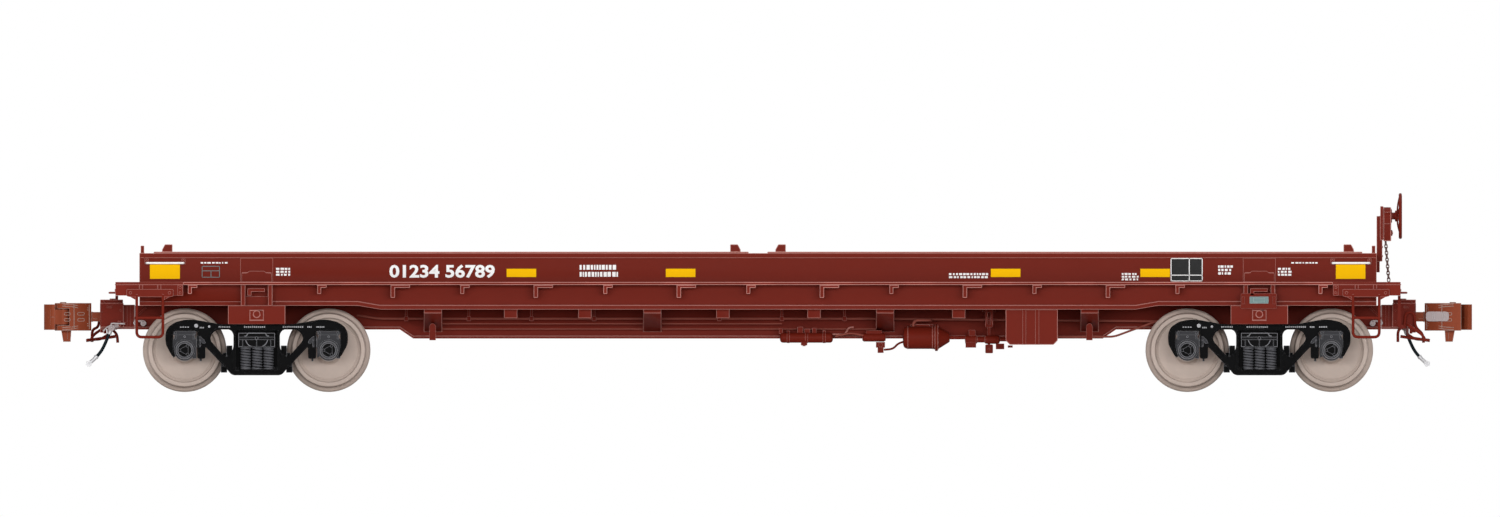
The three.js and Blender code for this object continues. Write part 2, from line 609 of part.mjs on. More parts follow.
/** The brake cylinder: barrel, flange, cone and the bracket to the sill. */
function brakeCylinder() {
  const [y, z] = [-5.6, 7.72];
  const profile = [[0, 20.58], [1.2, 20.58], [1.6, 21.0], [1.6, 25.14], [1.9, 25.14], [1.9, 25.58],
    [1.6, 25.58], [0.7, 27.3], [0, 27.3]];
  const barrel = new THREE.LatheGeometry(profile.map(([r, x]) => new THREE.Vector2(r, x)), 20);
  barrel.rotateZ(-Math.PI / 2).translate(0, y, z);
  return piece('brake_cylinder', join(
    barrel,
    box(22.2, 22.7, y, SILL_SIDE, 8.1, 9.3),
    box(24.0, 24.5, y, SILL_SIDE, 8.1, 9.3)), bodyPaint);
}

/** The large equipment box that hangs from the right girder's flange. */
function equipmentBox() {
  const [x0, x1, top, low, chamfer] = [35.2, 42.6, FLOOR_Z - FLANGE_DROP, 6.71, 0.6];
  const face = outline([[x0, top], [x0, low + chamfer], [x0 + chamfer, low], [x1 - chamfer, low],
    [x1, low + chamfer], [x1, top]]);
  return piece('equipment_box', alongY(face, -14.4, -8.2), bodyPaint);
}

car.add(reservoir(), brakeCylinder(), equipmentBox());

// ---------------------------------------------------------------------------------------------
// Trucks
// ---------------------------------------------------------------------------------------------

const AXLE_X = WHEEL_BASE / 2;
const OPENING_HALF = 2.98; // half width of the side frame's bolster opening
const SEAT_Z = 3.13; // spring seat

/** One side frame with its bearings and the three springs, moulded together, at +Y. */
function sideFrame(name) {
  const right = [
    [5.2, 9.63], [8.5, 10.22], [9.4, 10.3], [10.3, 10.25], [11.5, 9.95], [12.5, 9.3], [12.93, 8.5],
    [12.99, 7.6], [12.9, 6.7], [11.95, 5.0], [11.85, 8.67], [8.45, 8.67], [8.45, 4.73], [7.3, 4.73],
    [7.3, 6.45], [4.12, 3.1], [3.75, 2.6], [3.3, 2.37]];
  const frame = outline([...right, ...right.map(([x, z]) => [-x, z]).reverse()]);
  const window = [[6.65, 7.39], [6.4, 8.3], [5.6, 8.91], [3.8, 8.91], [3.28, 8.3], [3.31, 6.2], [3.9, 5.1],
    [4.6, 5.05]];
  const round = (x, z, radius) => rod([x, FRAME_IN - 1, z], [x, FRAME_OUT + 1, z], radius, 12);
  const pieces = [alongY(frame, FRAME_IN, FRAME_OUT)];
  const cuts = [box(-OPENING_HALF, OPENING_HALF, FRAME_IN - 1, FRAME_OUT + 1, SEAT_Z, 8.76)];
  for (const end of [-1, 1]) {
    cuts.push(alongY(outline(window.map(([x, z]) => [end * x, z])), FRAME_IN - 1, FRAME_OUT + 1));
  }
  const springs = [-1.62, 0, 1.62].map((x) => rod([x, 13.3, SEAT_Z - 0.1], [x, 13.3, 6.35], 0.74, 6));
  const bearings = [];
  const bores = [];
  for (const x of [-AXLE_X, AXLE_X]) {
    bearings.push(box(x - 1.68, x + 1.68, FRAME_IN + 0.2, FRAME_OUT - 0.1, 6.0, 8.7));
    bearings.push(rod([x, FRAME_IN + 0.2, AXLE_Z], [x, FRAME_OUT + 0.1, AXLE_Z], 1.5, 14));
    bores.push(round(x, AXLE_Z, JOURNAL_R + 0.22));
  }
  return piece(name, cut(join(cut(join(...pieces), ...cuts), ...springs, ...bearings), ...bores), truckBlack);
}

/** The truck bolster: a beam through both side frames, with the pivot bowl and the screw's hole. */
function truckBolster(name) {
  const half = [[14.6, 6.4], [14.6, 8.4], [6.0, 8.4], [4.0, 8.57], [-4.0, 8.57], [-6.0, 8.4], [-14.6, 8.4],
    [-14.6, 6.4], [-11.5, 6.4], [-8.0, 5.6], [8.0, 5.6], [11.5, 6.4]];
  return piece(name, cut(
    alongX(outline(half), -2.6, 2.6),
    rod([0, 0, 0], [0, 0, 12], SCREW_R + 0.25, 16)), truckBlack);
}

/** A wheel at +Y: flange, tread, rim, thin plate and hub. */
function wheel(name) {
  const profile = [
    [0.82, WHEEL_BACK], [1.8, WHEEL_BACK], [2.1, 8.1], [4.3, 8.3], [4.55, WHEEL_BACK], [FLANGE_R, 7.4],
    [TREAD_R, 8.15], [TREAD_R, WHEEL_FRONT], [4.59, WHEEL_FRONT], [4.35, 9.2], [2.0, 9.0], [1.75, 9.9],
    [0.82, 9.9], [0.82, WHEEL_BACK]];
  const turned = new THREE.LatheGeometry(profile.map(([r, y]) => new THREE.Vector2(r, y)), 24);
  return piece(name, turned, wheelSteel);
}

/** An axle with its journals and the bearing caps that turn with it. */
function axle(name) {
  const capFace = 14.85;
  const half = [[0, capFace], [1.15, capFace], [1.25, capFace - 0.1], [1.25, FRAME_OUT + 0.2],
    [JOURNAL_R, FRAME_OUT + 0.2], [JOURNAL_R, 10.2], [0.76, 10.2]];
  const profile = [...half, ...half.map(([r, y]) => [r, -y]).reverse()];
  const turned = new THREE.LatheGeometry(profile.map(([r, y]) => new THREE.Vector2(r, y)).reverse(), 12);
  return piece(name, turned, bareSteel);
}

/** The screw that holds a truck to the centre sill and is its pivot. */
function truckScrew(name) {
  return piece(name, join(
    rod([0, 0, 5.0], [0, 0, SILL_TOP - 0.6], SCREW_R, 16),
    rod([0, 0, 4.4], [0, 0, 5.35], 1.5, 16)), bareSteel);
}

for (const end of ['a', 'b']) {
  const x = end === 'a' ? -TRUCK_CENTRE_X : TRUCK_CENTRE_X;
  const truck = placed(x, 'b', truckBolster(`truck_bolster_${end}`), truckScrew(`truck_screw_${end}`),
    ...bothSides((side) => sideFrame(`side_frame_${end}_${side}`)));
  for (const [number, sign] of [[1, -1], [2, 1]]) {
    const set = new THREE.Group();
    set.add(axle(`axle_${end}${number}`), ...bothSides((side) => wheel(`wheel_${end}${number}_${side}`)));
    set.position.set(sign * AXLE_X, 0, AXLE_Z);
    truck.add(set);
  }
  car.add(truck);
}

export default car;
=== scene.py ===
"""Looks of the HO scale flat car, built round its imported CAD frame. The classes' lengths are millimetres."""
import json
import logging
import math
from collections.abc import Iterable, Sequence
from dataclasses import dataclass, field
from enum import Enum

import bmesh
import bpy
import numpy as np
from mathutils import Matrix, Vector
from mathutils.geometry import tessellate_polygon

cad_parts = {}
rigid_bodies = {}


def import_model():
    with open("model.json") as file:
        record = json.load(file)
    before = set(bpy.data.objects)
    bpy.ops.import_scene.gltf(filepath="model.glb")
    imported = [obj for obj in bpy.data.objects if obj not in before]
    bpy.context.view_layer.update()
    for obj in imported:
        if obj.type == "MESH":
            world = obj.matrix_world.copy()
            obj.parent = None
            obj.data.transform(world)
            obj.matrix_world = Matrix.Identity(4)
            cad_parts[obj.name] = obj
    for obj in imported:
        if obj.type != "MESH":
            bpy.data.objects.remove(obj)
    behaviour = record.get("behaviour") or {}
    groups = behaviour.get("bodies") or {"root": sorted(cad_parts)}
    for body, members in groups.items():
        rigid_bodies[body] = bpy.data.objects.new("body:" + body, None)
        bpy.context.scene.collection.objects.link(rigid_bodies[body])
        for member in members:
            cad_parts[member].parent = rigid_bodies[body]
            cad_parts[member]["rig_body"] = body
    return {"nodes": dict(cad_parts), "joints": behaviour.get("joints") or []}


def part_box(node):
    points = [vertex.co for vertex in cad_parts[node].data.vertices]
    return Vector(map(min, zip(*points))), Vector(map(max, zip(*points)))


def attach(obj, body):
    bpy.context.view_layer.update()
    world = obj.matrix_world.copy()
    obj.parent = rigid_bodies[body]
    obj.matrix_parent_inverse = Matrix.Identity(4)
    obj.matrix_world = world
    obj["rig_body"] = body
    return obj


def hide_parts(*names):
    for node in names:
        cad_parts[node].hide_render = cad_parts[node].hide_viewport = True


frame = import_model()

LOG = logging.getLogger("flat_car")
MM = 0.001
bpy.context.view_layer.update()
Points = np.ndarray
Shell = tuple[np.ndarray, list[Sequence[int]]]


# ------------------------------------------------------------------------------------------ shader maths


class Shade:
    """A shader socket that can be used in Python expressions. Each operator adds one Math node."""

    def __init__(self, tree: bpy.types.NodeTree, socket: bpy.types.NodeSocket) -> None:
        """Wraps an output socket of a tree."""
        self.tree = tree
        self.socket = socket

    def _maths(self, operation: str, a: "Shade | float", b: "Shade | float") -> "Shade":
        """One Math node.

        Args:
            operation: the Math node's operation.
            a: the first value.
            b: the second value.

        Returns:
            The node's result.
        """
        node = self.tree.nodes.new("ShaderNodeMath")
        node.operation = operation
        for slot, value in zip(node.inputs, (a, b)):
            if isinstance(value, Shade):
                self.tree.links.new(value.socket, slot)
            else:
                slot.default_value = value
        return Shade(self.tree, node.outputs[0])

    def __add__(self, other: "Shade | float") -> "Shade":
        """self + other."""
        return self._maths("ADD", self, other)

    def __radd__(self, other: float) -> "Shade":
        """other + self."""
        return self._maths("ADD", other, self)

    def __sub__(self, other: "Shade | float") -> "Shade":
        """self - other."""
        return self._maths("SUBTRACT", self, other)

    def __rsub__(self, other: float) -> "Shade":
        """other - self."""
        return self._maths("SUBTRACT", other, self)

    def __mul__(self, other: "Shade | float") -> "Shade":
        """self * other."""
        return self._maths("MULTIPLY", self, other)

    def __rmul__(self, other: float) -> "Shade":
        """other * self."""
        return self._maths("MULTIPLY", other, self)

    def __pow__(self, other: float) -> "Shade":
        """self to a power."""
        return self._maths("POWER", self, other)

    def above(self, edge: float, softness: float) -> "Shade":
        """A mask that rises from 0 to 1 over softness, beginning at edge.

        Args:
            edge: the value where the mask begins to rise.
            softness: how far it takes to reach 1.

        Returns:
            The mask, held between 0 and 1.
        """
        lifted = (self - edge) * (1.0 / softness)
        return lifted._maths("MAXIMUM", lifted, 0.0)._maths_min(1.0)

    def _maths_min(self, limit: float) -> "Shade":
        """The smaller of self and limit."""
        return self._maths("MINIMUM", self, limit)


class Shader:
    """Builds one material's node tree round a Principled shader."""

    def __init__(self, name: str) -> None:
        """Makes the material and keeps its tree, its shader and its Object coordinates."""
        self.material = bpy.data.materials.new(name)
        self.material.use_nodes = True
        self.tree = self.material.node_tree
        self.surface = self.tree.nodes["Principled BSDF"]
        self.place = self.node("ShaderNodeTexCoord", {}, {})["Object"]

    def node(self, kind: str, settings: dict[str, object], inputs: dict[str, object]) -> dict[str, Shade]:
        """Adds any node.

        Args:
            kind: the node's type name.
            settings: its own settings, set before its sockets.
            inputs: socket names with values or Shades.

        Returns:
            Its outputs by name.
        """
        node = self.tree.nodes.new(kind)
        for key, value in settings.items():
            setattr(node, key, value)
        for key, value in inputs.items():
            slot = node.inputs[int(key)] if key.isdigit() else node.inputs[key]
            if isinstance(value, Shade):
                self.tree.links.new(value.socket, slot)
            else:
                slot.default_value = value
        return {out.name: Shade(self.tree, out) for out in node.outputs if out.enabled}

    def noise(self, scale: float, detail: float = 2.0, stretch: Sequence[float] = (1, 1, 1)) -> Shade:
        """Noise over Object coordinates.

        Args:
            scale: features per metre, about.
            detail: octaves.
            stretch: how the pattern is scaled along X, Y and Z.

        Returns:
            A value from 0 to 1, mostly near a half.
        """
        mapped = self.node("ShaderNodeMapping", {}, {"Vector": self.place, "Scale": tuple(stretch)})["Vector"]
        return self.node("ShaderNodeTexNoise", {},
                         {"Vector": mapped, "Scale": scale, "Detail": detail})["Fac"]

    def mix(self, share: "Shade | float", a: "Shade | tuple", b: "Shade | tuple") -> Shade:
        """A colour between a and b, by share."""
        node = self.tree.nodes.new("ShaderNodeMix")
        node.data_type = "RGBA"
        for slot, value in ((node.inputs[0], share), (node.inputs[6], a), (node.inputs[7], b)):
            if isinstance(value, Shade):
                self.tree.links.new(value.socket, slot)
            else:
                slot.default_value = value
        return Shade(self.tree, node.outputs[2])

    def bump(self, height: Shade, depth: float) -> Shade:
        """A normal bent by a height, where depth is in metres for a height of 1."""
        made = self.node("ShaderNodeBump", {}, {"Height": height, "Distance": depth, "Strength": 1.0})
        return made["Normal"]

    def set(self, **sockets: object) -> None:
        """Sets or links the Principled shader's sockets; an underscore stands for a space."""
        for key, value in sockets.items():
            slot = self.surface.inputs[key.replace("_", " ")]
            if isinstance(value, Shade):
                self.tree.links.new(value.socket, slot)
            else:
                slot.default_value = value


def linear(red: int, green: int, blue: int) -> tuple[float, float, float, float]:
    """A colour given in display values from 0 to 255, as linear light with alpha 1."""
    def one(value: int) -> float:
        """One channel as linear light."""
        share = value / 255
        return share / 12.92 if share <= 0.04045 else ((share + 0.055) / 1.055) ** 2.4
    return one(red), one(green), one(blue), 1.0


def tinted(colour: Sequence[float], factor: float) -> tuple[float, float, float, float]:
    """The same colour with its light multiplied by factor."""
    return tuple(min(1.0, c * factor) for c in colour[:3]) + (1.0,)


# ---------------------------------------------------------------------------------------------- finishes


@dataclass(frozen=True)
class Finish:
    """A painted, moulded or metal surface: colour, a lighter colour on its rounded edges that is a painted
    highlight, gloss and grain.
    """

    name: str
    colour: tuple[float, float, float, float]
    # edge: the lighter colour of the rounded edges, a painted highlight where the edges would catch the light
    edge: tuple[float, float, float, float]
    roughness: float = 0.5
    metallic: float = 0.0
    drift: float = 0.10  # how far the colour strays, broad patches
    grain: float = 2200.0  # fine features per metre
    grain_depth: float = 2.0e-6  # metres
    streaks: float = 0.06  # strength of the thin upright streaks
    coat: float = 0.0
    shine: float = 0.12  # share of the full mirror reflection

    def build(self, colour: tuple[float, float, float, float], name: str) -> bpy.types.Material:
        """The material for one of the finish's colours.

        Args:
            colour: base colour in linear light.
            name: the material's name.

        Returns:
            A material with patches, streaks, uneven gloss and a fine grain.
        """
        shader = Shader(name)
        patches = shader.noise(55.0, 3.0)
        streaks = shader.noise(420.0, 2.0, (1.0, 1.0, 0.08))
        grain = shader.noise(self.grain, 2.0)
        light = (patches - 0.5) * (2 * self.drift) + (streaks - 0.5) * (2 * self.streaks)
        share = (light + 0.5).above(0.0, 1.0)
        base = shader.mix(share, tinted(colour, 0.72), tinted(colour, 1.3))
        gloss = self.roughness + (patches - 0.5) * 0.16 + (grain - 0.5) * 0.08
        shader.set(Base_Color=base, Roughness=gloss, Metallic=self.metallic, Coat_Weight=self.coat,
                   Specular_IOR_Level=self.shine, Normal=shader.bump(grain, self.grain_depth))
        return shader.material

    def materials(self) -> list[bpy.types.Material]:
        """The surface material and the one for the painted highlight on the rounded edges, made once for each
        finish.
        """
        names = [f"{self.name}_{part}" for part in ("face", "edge")]
        kept = [bpy.data.materials.get(name) for name in names]
        if all(kept):
            return kept
        return [self.build(colour, name) for colour, name in zip((self.colour, self.edge), names)]


@dataclass(frozen=True)
class TreadFinish(Finish):
    """Paint over a raised tread pattern, for plates that are walked on."""

    pitch: float = 1100.0  # pattern cells per metre
    height: float = 3.0e-5

    def build(self, colour: tuple[float, float, float, float], name: str) -> bpy.types.Material:
        """Adds crossed lozenges to the paint's bump."""
        shader = Shader(name)
        patches = shader.noise(55.0, 3.0)
        grain = shader.noise(self.grain, 2.0)
        waves = [shader.node("ShaderNodeTexWave", {"wave_type": "BANDS", "bands_direction": "DIAGONAL"},
                             {"Vector": shader.node("ShaderNodeMapping", {}, {
                                 "Vector": shader.place, "Scale": (1, turn, 0)})["Vector"],
                              "Scale": self.pitch / 20.0})["Fac"] for turn in (1.0, -1.0)]
        lozenge = (waves[0] * waves[1]).above(0.35, 0.3)
        base = shader.mix((patches - 0.5) * 0.5 + lozenge * 0.35 + 0.35,
                          tinted(colour, 0.78), tinted(colour, 1.3))
        height = lozenge + grain * 0.08
        shader.set(Base_Color=base, Roughness=self.roughness + (patches - 0.5) * 0.16,
                   Specular_IOR_Level=self.shine, Normal=shader.bump(height, self.height))
        return shader.material


@dataclass(frozen=True)
class TurnedFinish(Finish):
    """Metal turned on a lathe: fine rings round the Y axis of each wheel show in its gloss."""

    def build(self, colour: tuple[float, float, float, float], name: str) -> bpy.types.Material:
        """Adds brushed unevenness to colour and gloss."""
        shader = Shader(name)
        patches = shader.noise(260.0, 3.0)
        brushed = shader.noise(900.0, 2.0, (1.0, 6.0, 1.0))
        base = shader.mix(patches * 0.5 + brushed * 0.5, tinted(colour, 0.84), tinted(colour, 1.14))
        shader.set(Base_Color=base, Roughness=self.roughness + (brushed - 0.5) * 0.25,
                   Specular_IOR_Level=self.shine, Metallic=self.metallic, Normal=shader.bump(brushed, 3.0e-6))
        return shader.material


# The second colour of each finish is the painted highlight that its rounded edges take.
BODY = Finish("body_paint", linear(104, 30, 19), linear(172, 117, 109), 0.5, shine=0.05)
PIPE = Finish("pipe_paint", linear(132, 70, 60), linear(176, 122, 114), 0.5, shine=0.05)
TREAD = TreadFinish("tread_paint", linear(104, 30, 19), linear(172, 117, 109), 0.5, shine=0.05)
RUST = Finish("coupler_rust", linear(126, 57, 33), linear(160, 132, 122), 0.55, 0.15, 0.16)
BLACK = Finish("truck_black", linear(9, 9, 10), linear(122, 122, 126), 0.5, shine=0.03)
WHEEL = TurnedFinish("wheel_steel", linear(186, 170, 160), linear(200, 190, 182), 0.5, 0.0)
STEEL = TurnedFinish("bare_steel", linear(140, 136, 136), linear(190, 188, 188), 0.35, 0.85)
TAG_GREY = Finish("cock_grey", linear(146, 134, 134), linear(186, 178, 178), 0.42, 0.1)
SPRING = Finish("spring_black", linear(84, 84, 88), linear(140, 140, 144), 0.4)
CAST_GREY = Finish("cast_grey", linear(52, 52, 55), linear(150, 150, 154), 0.45, shine=0.05)
RAISED = Finish("raised_grey", linear(160, 160, 163), linear(185, 185, 188), 0.5, shine=0.05)
CHAIN = TurnedFinish("chain_steel", linear(120, 96, 92), linear(170, 150, 146), 0.45, 0.4)
WHITE = Finish("white_paint", linear(240, 240, 238), linear(250, 250, 250), 0.42, drift=0.03, streaks=0.02)
RUBBER = Finish("hose_rubber", linear(10, 22, 28), linear(30, 40, 46), 0.62)
GLAD_HAND = Finish("glad_hand_grey", linear(190, 190, 192), linear(215, 215, 216), 0.45, 0.3)
YELLOW = Finish("yellow_print", linear(255, 183, 0), linear(255, 200, 40), 0.45, drift=0.02, streaks=0.01,
                shine=0.02)
LABEL = Finish("black_print", linear(6, 6, 7), linear(30, 30, 32), 0.4, drift=0.05)
TAG = Finish("grey_tag", linear(106, 128, 128), linear(160, 176, 174), 0.45)


# -------------------------------------------------------------------------------------------- mesh tools


def grid_faces(rows: int, columns: int, wrap_rows: bool, wrap_columns: bool) -> list[list[int]]:
    """Quads over a grid of points numbered row by row.

    Args:
        rows: points along the first parameter.
        columns: points along the second.
        wrap_rows: joins the last row to the first.
        wrap_columns: joins the last column to the first.

    Returns:
        The quads, each turned so that row cross column points out.
    """
    i = np.arange(rows if wrap_rows else rows - 1)[:, None]
    j = np.arange(columns if wrap_columns else columns - 1)[None, :]
    after_i, after_j = (i + 1) % rows, (j + 1) % columns
    quads = np.stack([i * columns + j, after_i * columns + j, after_i * columns + after_j,
                      i * columns + after_j], axis=-1)
    return quads.reshape(-1, 4).tolist()


def swept(path: Points, profile: Points, up: Sequence[float], closed: bool = False) -> Shell:
    """Carries a profile along a path: point(s, t) = path(s) + a(t) * side(s) + b(t) * lift(s), where side is
    the unit cross of up and the path's direction and lift is the cross of direction and side.

    Args:
        path: points along the way, shape (n, 3).
        profile: the section as (a, b) pairs going round once, shape (k, 2).
        up: a direction that the path never follows.
        closed: whether the path joins itself.

    Returns:
        Points and faces, with both ends capped on an open path.
    """
    if closed:
        ahead = np.roll(path, -1, 0) - np.roll(path, 1, 0)
    else:
        ahead = np.gradient(path, axis=0)
    ahead /= np.linalg.norm(ahead, axis=1, keepdims=True)
    side = np.cross(np.asarray(up, float), ahead)
    side /= np.linalg.norm(side, axis=1, keepdims=True)
    lift = np.cross(ahead, side)
    points = (path[:, None] + profile[None, :, :1] * side[:, None] + profile[None, :, 1:] * lift[:, None])
    rows, columns = len(path), len(profile)
    faces = grid_faces(rows, columns, closed, True)
    if not closed:
        faces.append(list(range(columns)))
        faces.append(list(range((rows - 1) * columns, rows * columns))[::-1])
    return points.reshape(-1, 3), faces


def circle(radius: float, count: int, phase: float = 0.0) -> Points:
    """(a, b) points round a circle, turning clockwise so that swept faces point out."""
    turn = phase - np.linspace(0, 2 * math.pi, count, endpoint=False)
    return radius * np.stack([np.cos(turn), np.sin(turn)], axis=1)


def tube(path: Points, radius: float, sides: int = 10, up: Sequence[float] = (0.0, 1.0, 0.0),
         closed: bool = False) -> Shell:
    """A round wire along a path."""
    return swept(path, circle(radius, sides), up, closed)


def rounded(points: Sequence[Sequence[float]], bend: float, steps: int = 6, closed: bool = False) -> Points:
    """A path through corners, each rounded by the curve (1-t)^2 a + 2t(1-t) c + t^2 b from bend before the
    corner c to bend after it.

    Args:
        points: the corners in order.
        bend: how far from each corner the curve begins.
        steps: points on each curve.
        closed: whether the last corner joins the first.

    Returns:
        The path's points, shape (n, dimensions).
    """
    corners = np.asarray(points, float)
    before = np.roll(corners, 1, 0) - corners
    after = np.roll(corners, -1, 0) - corners
    reach_in = np.minimum(bend, np.linalg.norm(before, axis=1) * 0.49)[:, None]
    reach_out = np.minimum(bend, np.linalg.norm(after, axis=1) * 0.49)[:, None]
    start = corners + before / np.linalg.norm(before, axis=1)[:, None] * reach_in
    end = corners + after / np.linalg.norm(after, axis=1)[:, None] * reach_out
    t = np.linspace(0, 1, steps)[None, :, None]
    curves = (1 - t) ** 2 * start[:, None] + 2 * t * (1 - t) * corners[:, None] + t ** 2 * end[:, None]
    if closed:
        return curves.reshape(-1, corners.shape[1])
    middle = curves[1:-1].reshape(-1, corners.shape[1])
    return np.concatenate([corners[:1], middle, corners[-1:]])


def turned(profile: Sequence[Sequence[float]], centre: Sequence[float], axis: str, count: int = 48) -> Shell:
    """A profile of (radius, place along the axis) turned round an axis: point(s, t) = centre + place(s) * axis
    + radius(s) * (cos t, sin t) across it. A profile that begins and ends at radius 0 makes a closed body,
    and so does one that joins itself.

    Args:
        profile: the points, going along the axis on the outside.
        centre: a point on the axis.
        axis: "X", "Y" or "Z".
        count: points round the axis.

    Returns:
        Points and faces.
    """
    line = np.asarray(profile, float)
    joined = np.allclose(line[0], line[-1])
    if joined:
        line = line[:-1]
    turn = np.linspace(0, 2 * math.pi, count, endpoint=False)
    around = {"X": (1, 2, 0), "Y": (2, 0, 1), "Z": (0, 1, 2)}[axis]
    points = np.zeros((len(line), count, 3))
    points[..., around[0]] = line[:, :1] * np.cos(turn)
    points[..., around[1]] = line[:, :1] * np.sin(turn)
    points[..., around[2]] = line[:, 1:]
    faces = [face[::-1] for face in grid_faces(len(line), count, joined, True)]
    return points.reshape(-1, 3) + np.asarray(centre, float), faces


def ring(radii: tuple[float, float], ends: tuple[float, float], centre: Sequence[float], axis: str,
         count: int = 40) -> Shell:
    """A square-edged ring between two radii and two places along an axis."""
    (inner, outer), (start, end) = radii, ends
    return turned([(inner, start), (outer, start), (outer, end), (inner, end), (inner, start)], centre,
                  axis, count)


def rod(radius: float, ends: tuple[float, float], centre: Sequence[float], axis: str,
        count: int = 24) -> Shell:
    """A round bar along an axis, with chamfered ends."""
    start, end = ends
    chamfer = min(radius * 0.18, (end - start) * 0.2)
    return turned([(0.0, start), (radius - chamfer, start), (radius, start + chamfer),
                   (radius, end - chamfer),
                   (radius - chamfer, end), (0.0, end)], centre, axis, count)


def block(low: Sequence[float], high: Sequence[float]) -> Shell:
    """A box between two corners, six quads; its piece's bevel rounds it."""
    (x0, y0, z0), (x1, y1, z1) = np.minimum(low, high), np.maximum(low, high)
    ring = np.array([[y0, z0], [y1, z0], [y1, z1], [y0, z1]])
    points = np.concatenate([np.insert(ring, 0, x, axis=1) for x in (x0, x1)])
    faces = [[0, 3, 2, 1], [4, 5, 6, 7]] + [[i, (i + 1) % 4, 4 + (i + 1) % 4, 4 + i] for i in range(4)]
    return points, faces


def prism(outline: Points, axis: str, start: float, end: float) -> Shell:
    """An outline carried straight along an axis: point(s, t) = outline(t) + s * axis.

    Args:
        outline: (a, b) points; a and b are the other two axes in X, Y, Z order.
        axis: "X", "Y" or "Z".
        start: where it begins along the axis.
        end: where it ends.

    Returns:
        Points and faces, with the normals pointing out whichever way the outline goes.
    """
    line = np.asarray(outline, float)
    place = "XYZ".index(axis)
    area = np.sum(line[:, 0] * np.roll(line[:, 1], -1) - np.roll(line[:, 0], -1) * line[:, 1])
    if (area < 0) != (axis == "Y"):
        line = line[::-1]
    low, high = min(start, end), max(start, end)
    points = np.concatenate([np.insert(line, place, value, axis=1) for value in (low, high)])
    count = len(line)
    faces = [list(range(count))[::-1], list(range(count, 2 * count))]
    faces += [[i, (i + 1) % count, count + (i + 1) % count, count + i] for i in range(count)]
    return points, faces


def hexagon(centre: Sequence[float], axis: str, radius: float, height: float) -> Shell:
    """A bolt head: a hexagon of that radius, standing height along the axis from its centre."""
    place = "XYZ".index(axis)
    others = [i for i in range(3) if i != place]
    turn = np.linspace(0, 2 * math.pi, 6, endpoint=False) + 0.26
    line = np.stack([np.cos(turn) * radius + centre[others[0]], np.sin(turn) * radius + centre[others[1]]], 1)
    return prism(line, axis, centre[place], centre[place] + height)


def arc(centre: Sequence[float], radius: float, start: float, end: float, count: int = 12) -> Points:
    """Points on an arc in two dimensions, angles in degrees."""
    turn = np.radians(np.linspace(start, end, count))
    return np.stack([centre[0] + radius * np.cos(turn), centre[1] + radius * np.sin(turn)], axis=1)


def mirrored(shell: Shell, axis: str) -> Shell:
    """A shell reflected in the plane through the origin across an axis, faces turned back out."""
    points, faces = shell
    flip = np.ones(3)
    flip["XYZ".index(axis)] = -1
    return points * flip, [list(face)[::-1] for face in faces]


def moved(shell: Shell, by: Sequence[float]) -> Shell:
    """A shell shifted by a vector."""
    return shell[0] + np.asarray(by, float), shell[1]


def half_turn(shell: Shell) -> Shell:
    """A shell turned half round about the Z axis."""
    return shell[0] * np.array([-1.0, -1.0, 1.0]), shell[1]


class Piece:
    """Gathers shells into one object, then finishes, dresses and mounts it."""

    def __init__(self, name: str, finish: Finish) -> None:
        """Starts an empty piece with its finish."""
        self.name = name
        self.finish = finish
        self.points: list[Points] = []
        self.faces: list[list[int]] = []
        self.count = 0

    def add(self, *shells: Shell) -> "Piece":
        """Adds shells, in millimetres."""
        for points, faces in shells:
            self.faces.extend([[v + self.count for v in face] for face in faces])
            self.points.append(points)
            self.count += len(points)
        return self

    def make(self, body: str, slot: str, bevel: float = 0.05, replaces: Iterable[str] = (),
             smooth: float = 35.0) -> bpy.types.Object:
        """Writes the mesh and mounts the object.

        Args:
            body: the CAD body that it rides on.
            slot: the record's material slot; not used.
            bevel: width of the rounded edges in millimetres, 0 for none.
            replaces: CAD nodes that it stands for.
            smooth: edges sharper than this many degrees stay sharp.

        Returns:
            The finished object.
        """
        mesh = bpy.data.meshes.new(self.name)
        mesh.from_pydata((np.concatenate(self.points) * MM).tolist(), [], self.faces)
        return mount(mesh, self.name, self.finish, body, bevel, replaces, smooth)


def mount(mesh: bpy.types.Mesh, name: str, finish: Finish, body: str, bevel: float,
          replaces: Iterable[str], smooth: float = 35.0) -> bpy.types.Object:
    """Makes an object of a mesh, rounds its edges, dresses it and sets it on its body.

    Args:
        mesh: the finished mesh, in metres.
        name: the piece's name.
        finish: its finish; the rounded edges take the finish's edge colour, a painted highlight.
        body: the CAD body that it rides on.
        bevel: edge width in millimetres, 0 for none.
        replaces: CAD nodes that it stands for.
        smooth: edges sharper than this many degrees stay sharp.

    Returns:
        The object.
    """
    mesh.validate()
    mesh.shade_smooth()
    mesh.set_sharp_from_angle(angle=math.radians(smooth))
    piece = bpy.data.objects.new(name, mesh)
    bpy.context.scene.collection.objects.link(piece)
    for material in finish.materials():
        mesh.materials.append(material)
    if bevel > 0:
        edges = piece.modifiers.new("rounded_edges", "BEVEL")
        edges.width = bevel * MM
        edges.segments = 2
        edges.limit_method = "ANGLE"
        edges.angle_limit = math.radians(40)
        edges.harden_normals = True
        # The bevel faces take the second material: the painted edge highlight.
        edges.material = 1
    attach(piece, body)
    if replaces:
        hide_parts(*replaces)
    return piece


def dressed(node: str, finish: Finish, bevel: float = 0.06, name: str | None = None) -> bpy.types.Object:
    """A copy of a CAD node with its triangles merged into flat faces, rounded edges and a finish.

    Args:
        node: the CAD node, which the copy stands for.
        finish: its finish.
        bevel: edge width in millimetres.
        name: the copy's name, the node's own with _skin by default.

    Returns:
        The new object.
    """
    source = frame["nodes"][node]
    mesh = source.data.copy()
    mesh.materials.clear()
    solid = bmesh.new()
    solid.from_mesh(mesh)
    bmesh.ops.remove_doubles(solid, verts=solid.verts, dist=0.002 * MM)
    bmesh.ops.dissolve_limit(solid, angle_limit=math.radians(1.0), verts=solid.verts, edges=solid.edges)
    solid.to_mesh(mesh)
    solid.free()
    return mount(mesh, name or f"{node}_skin", finish, source["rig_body"], bevel, [node])


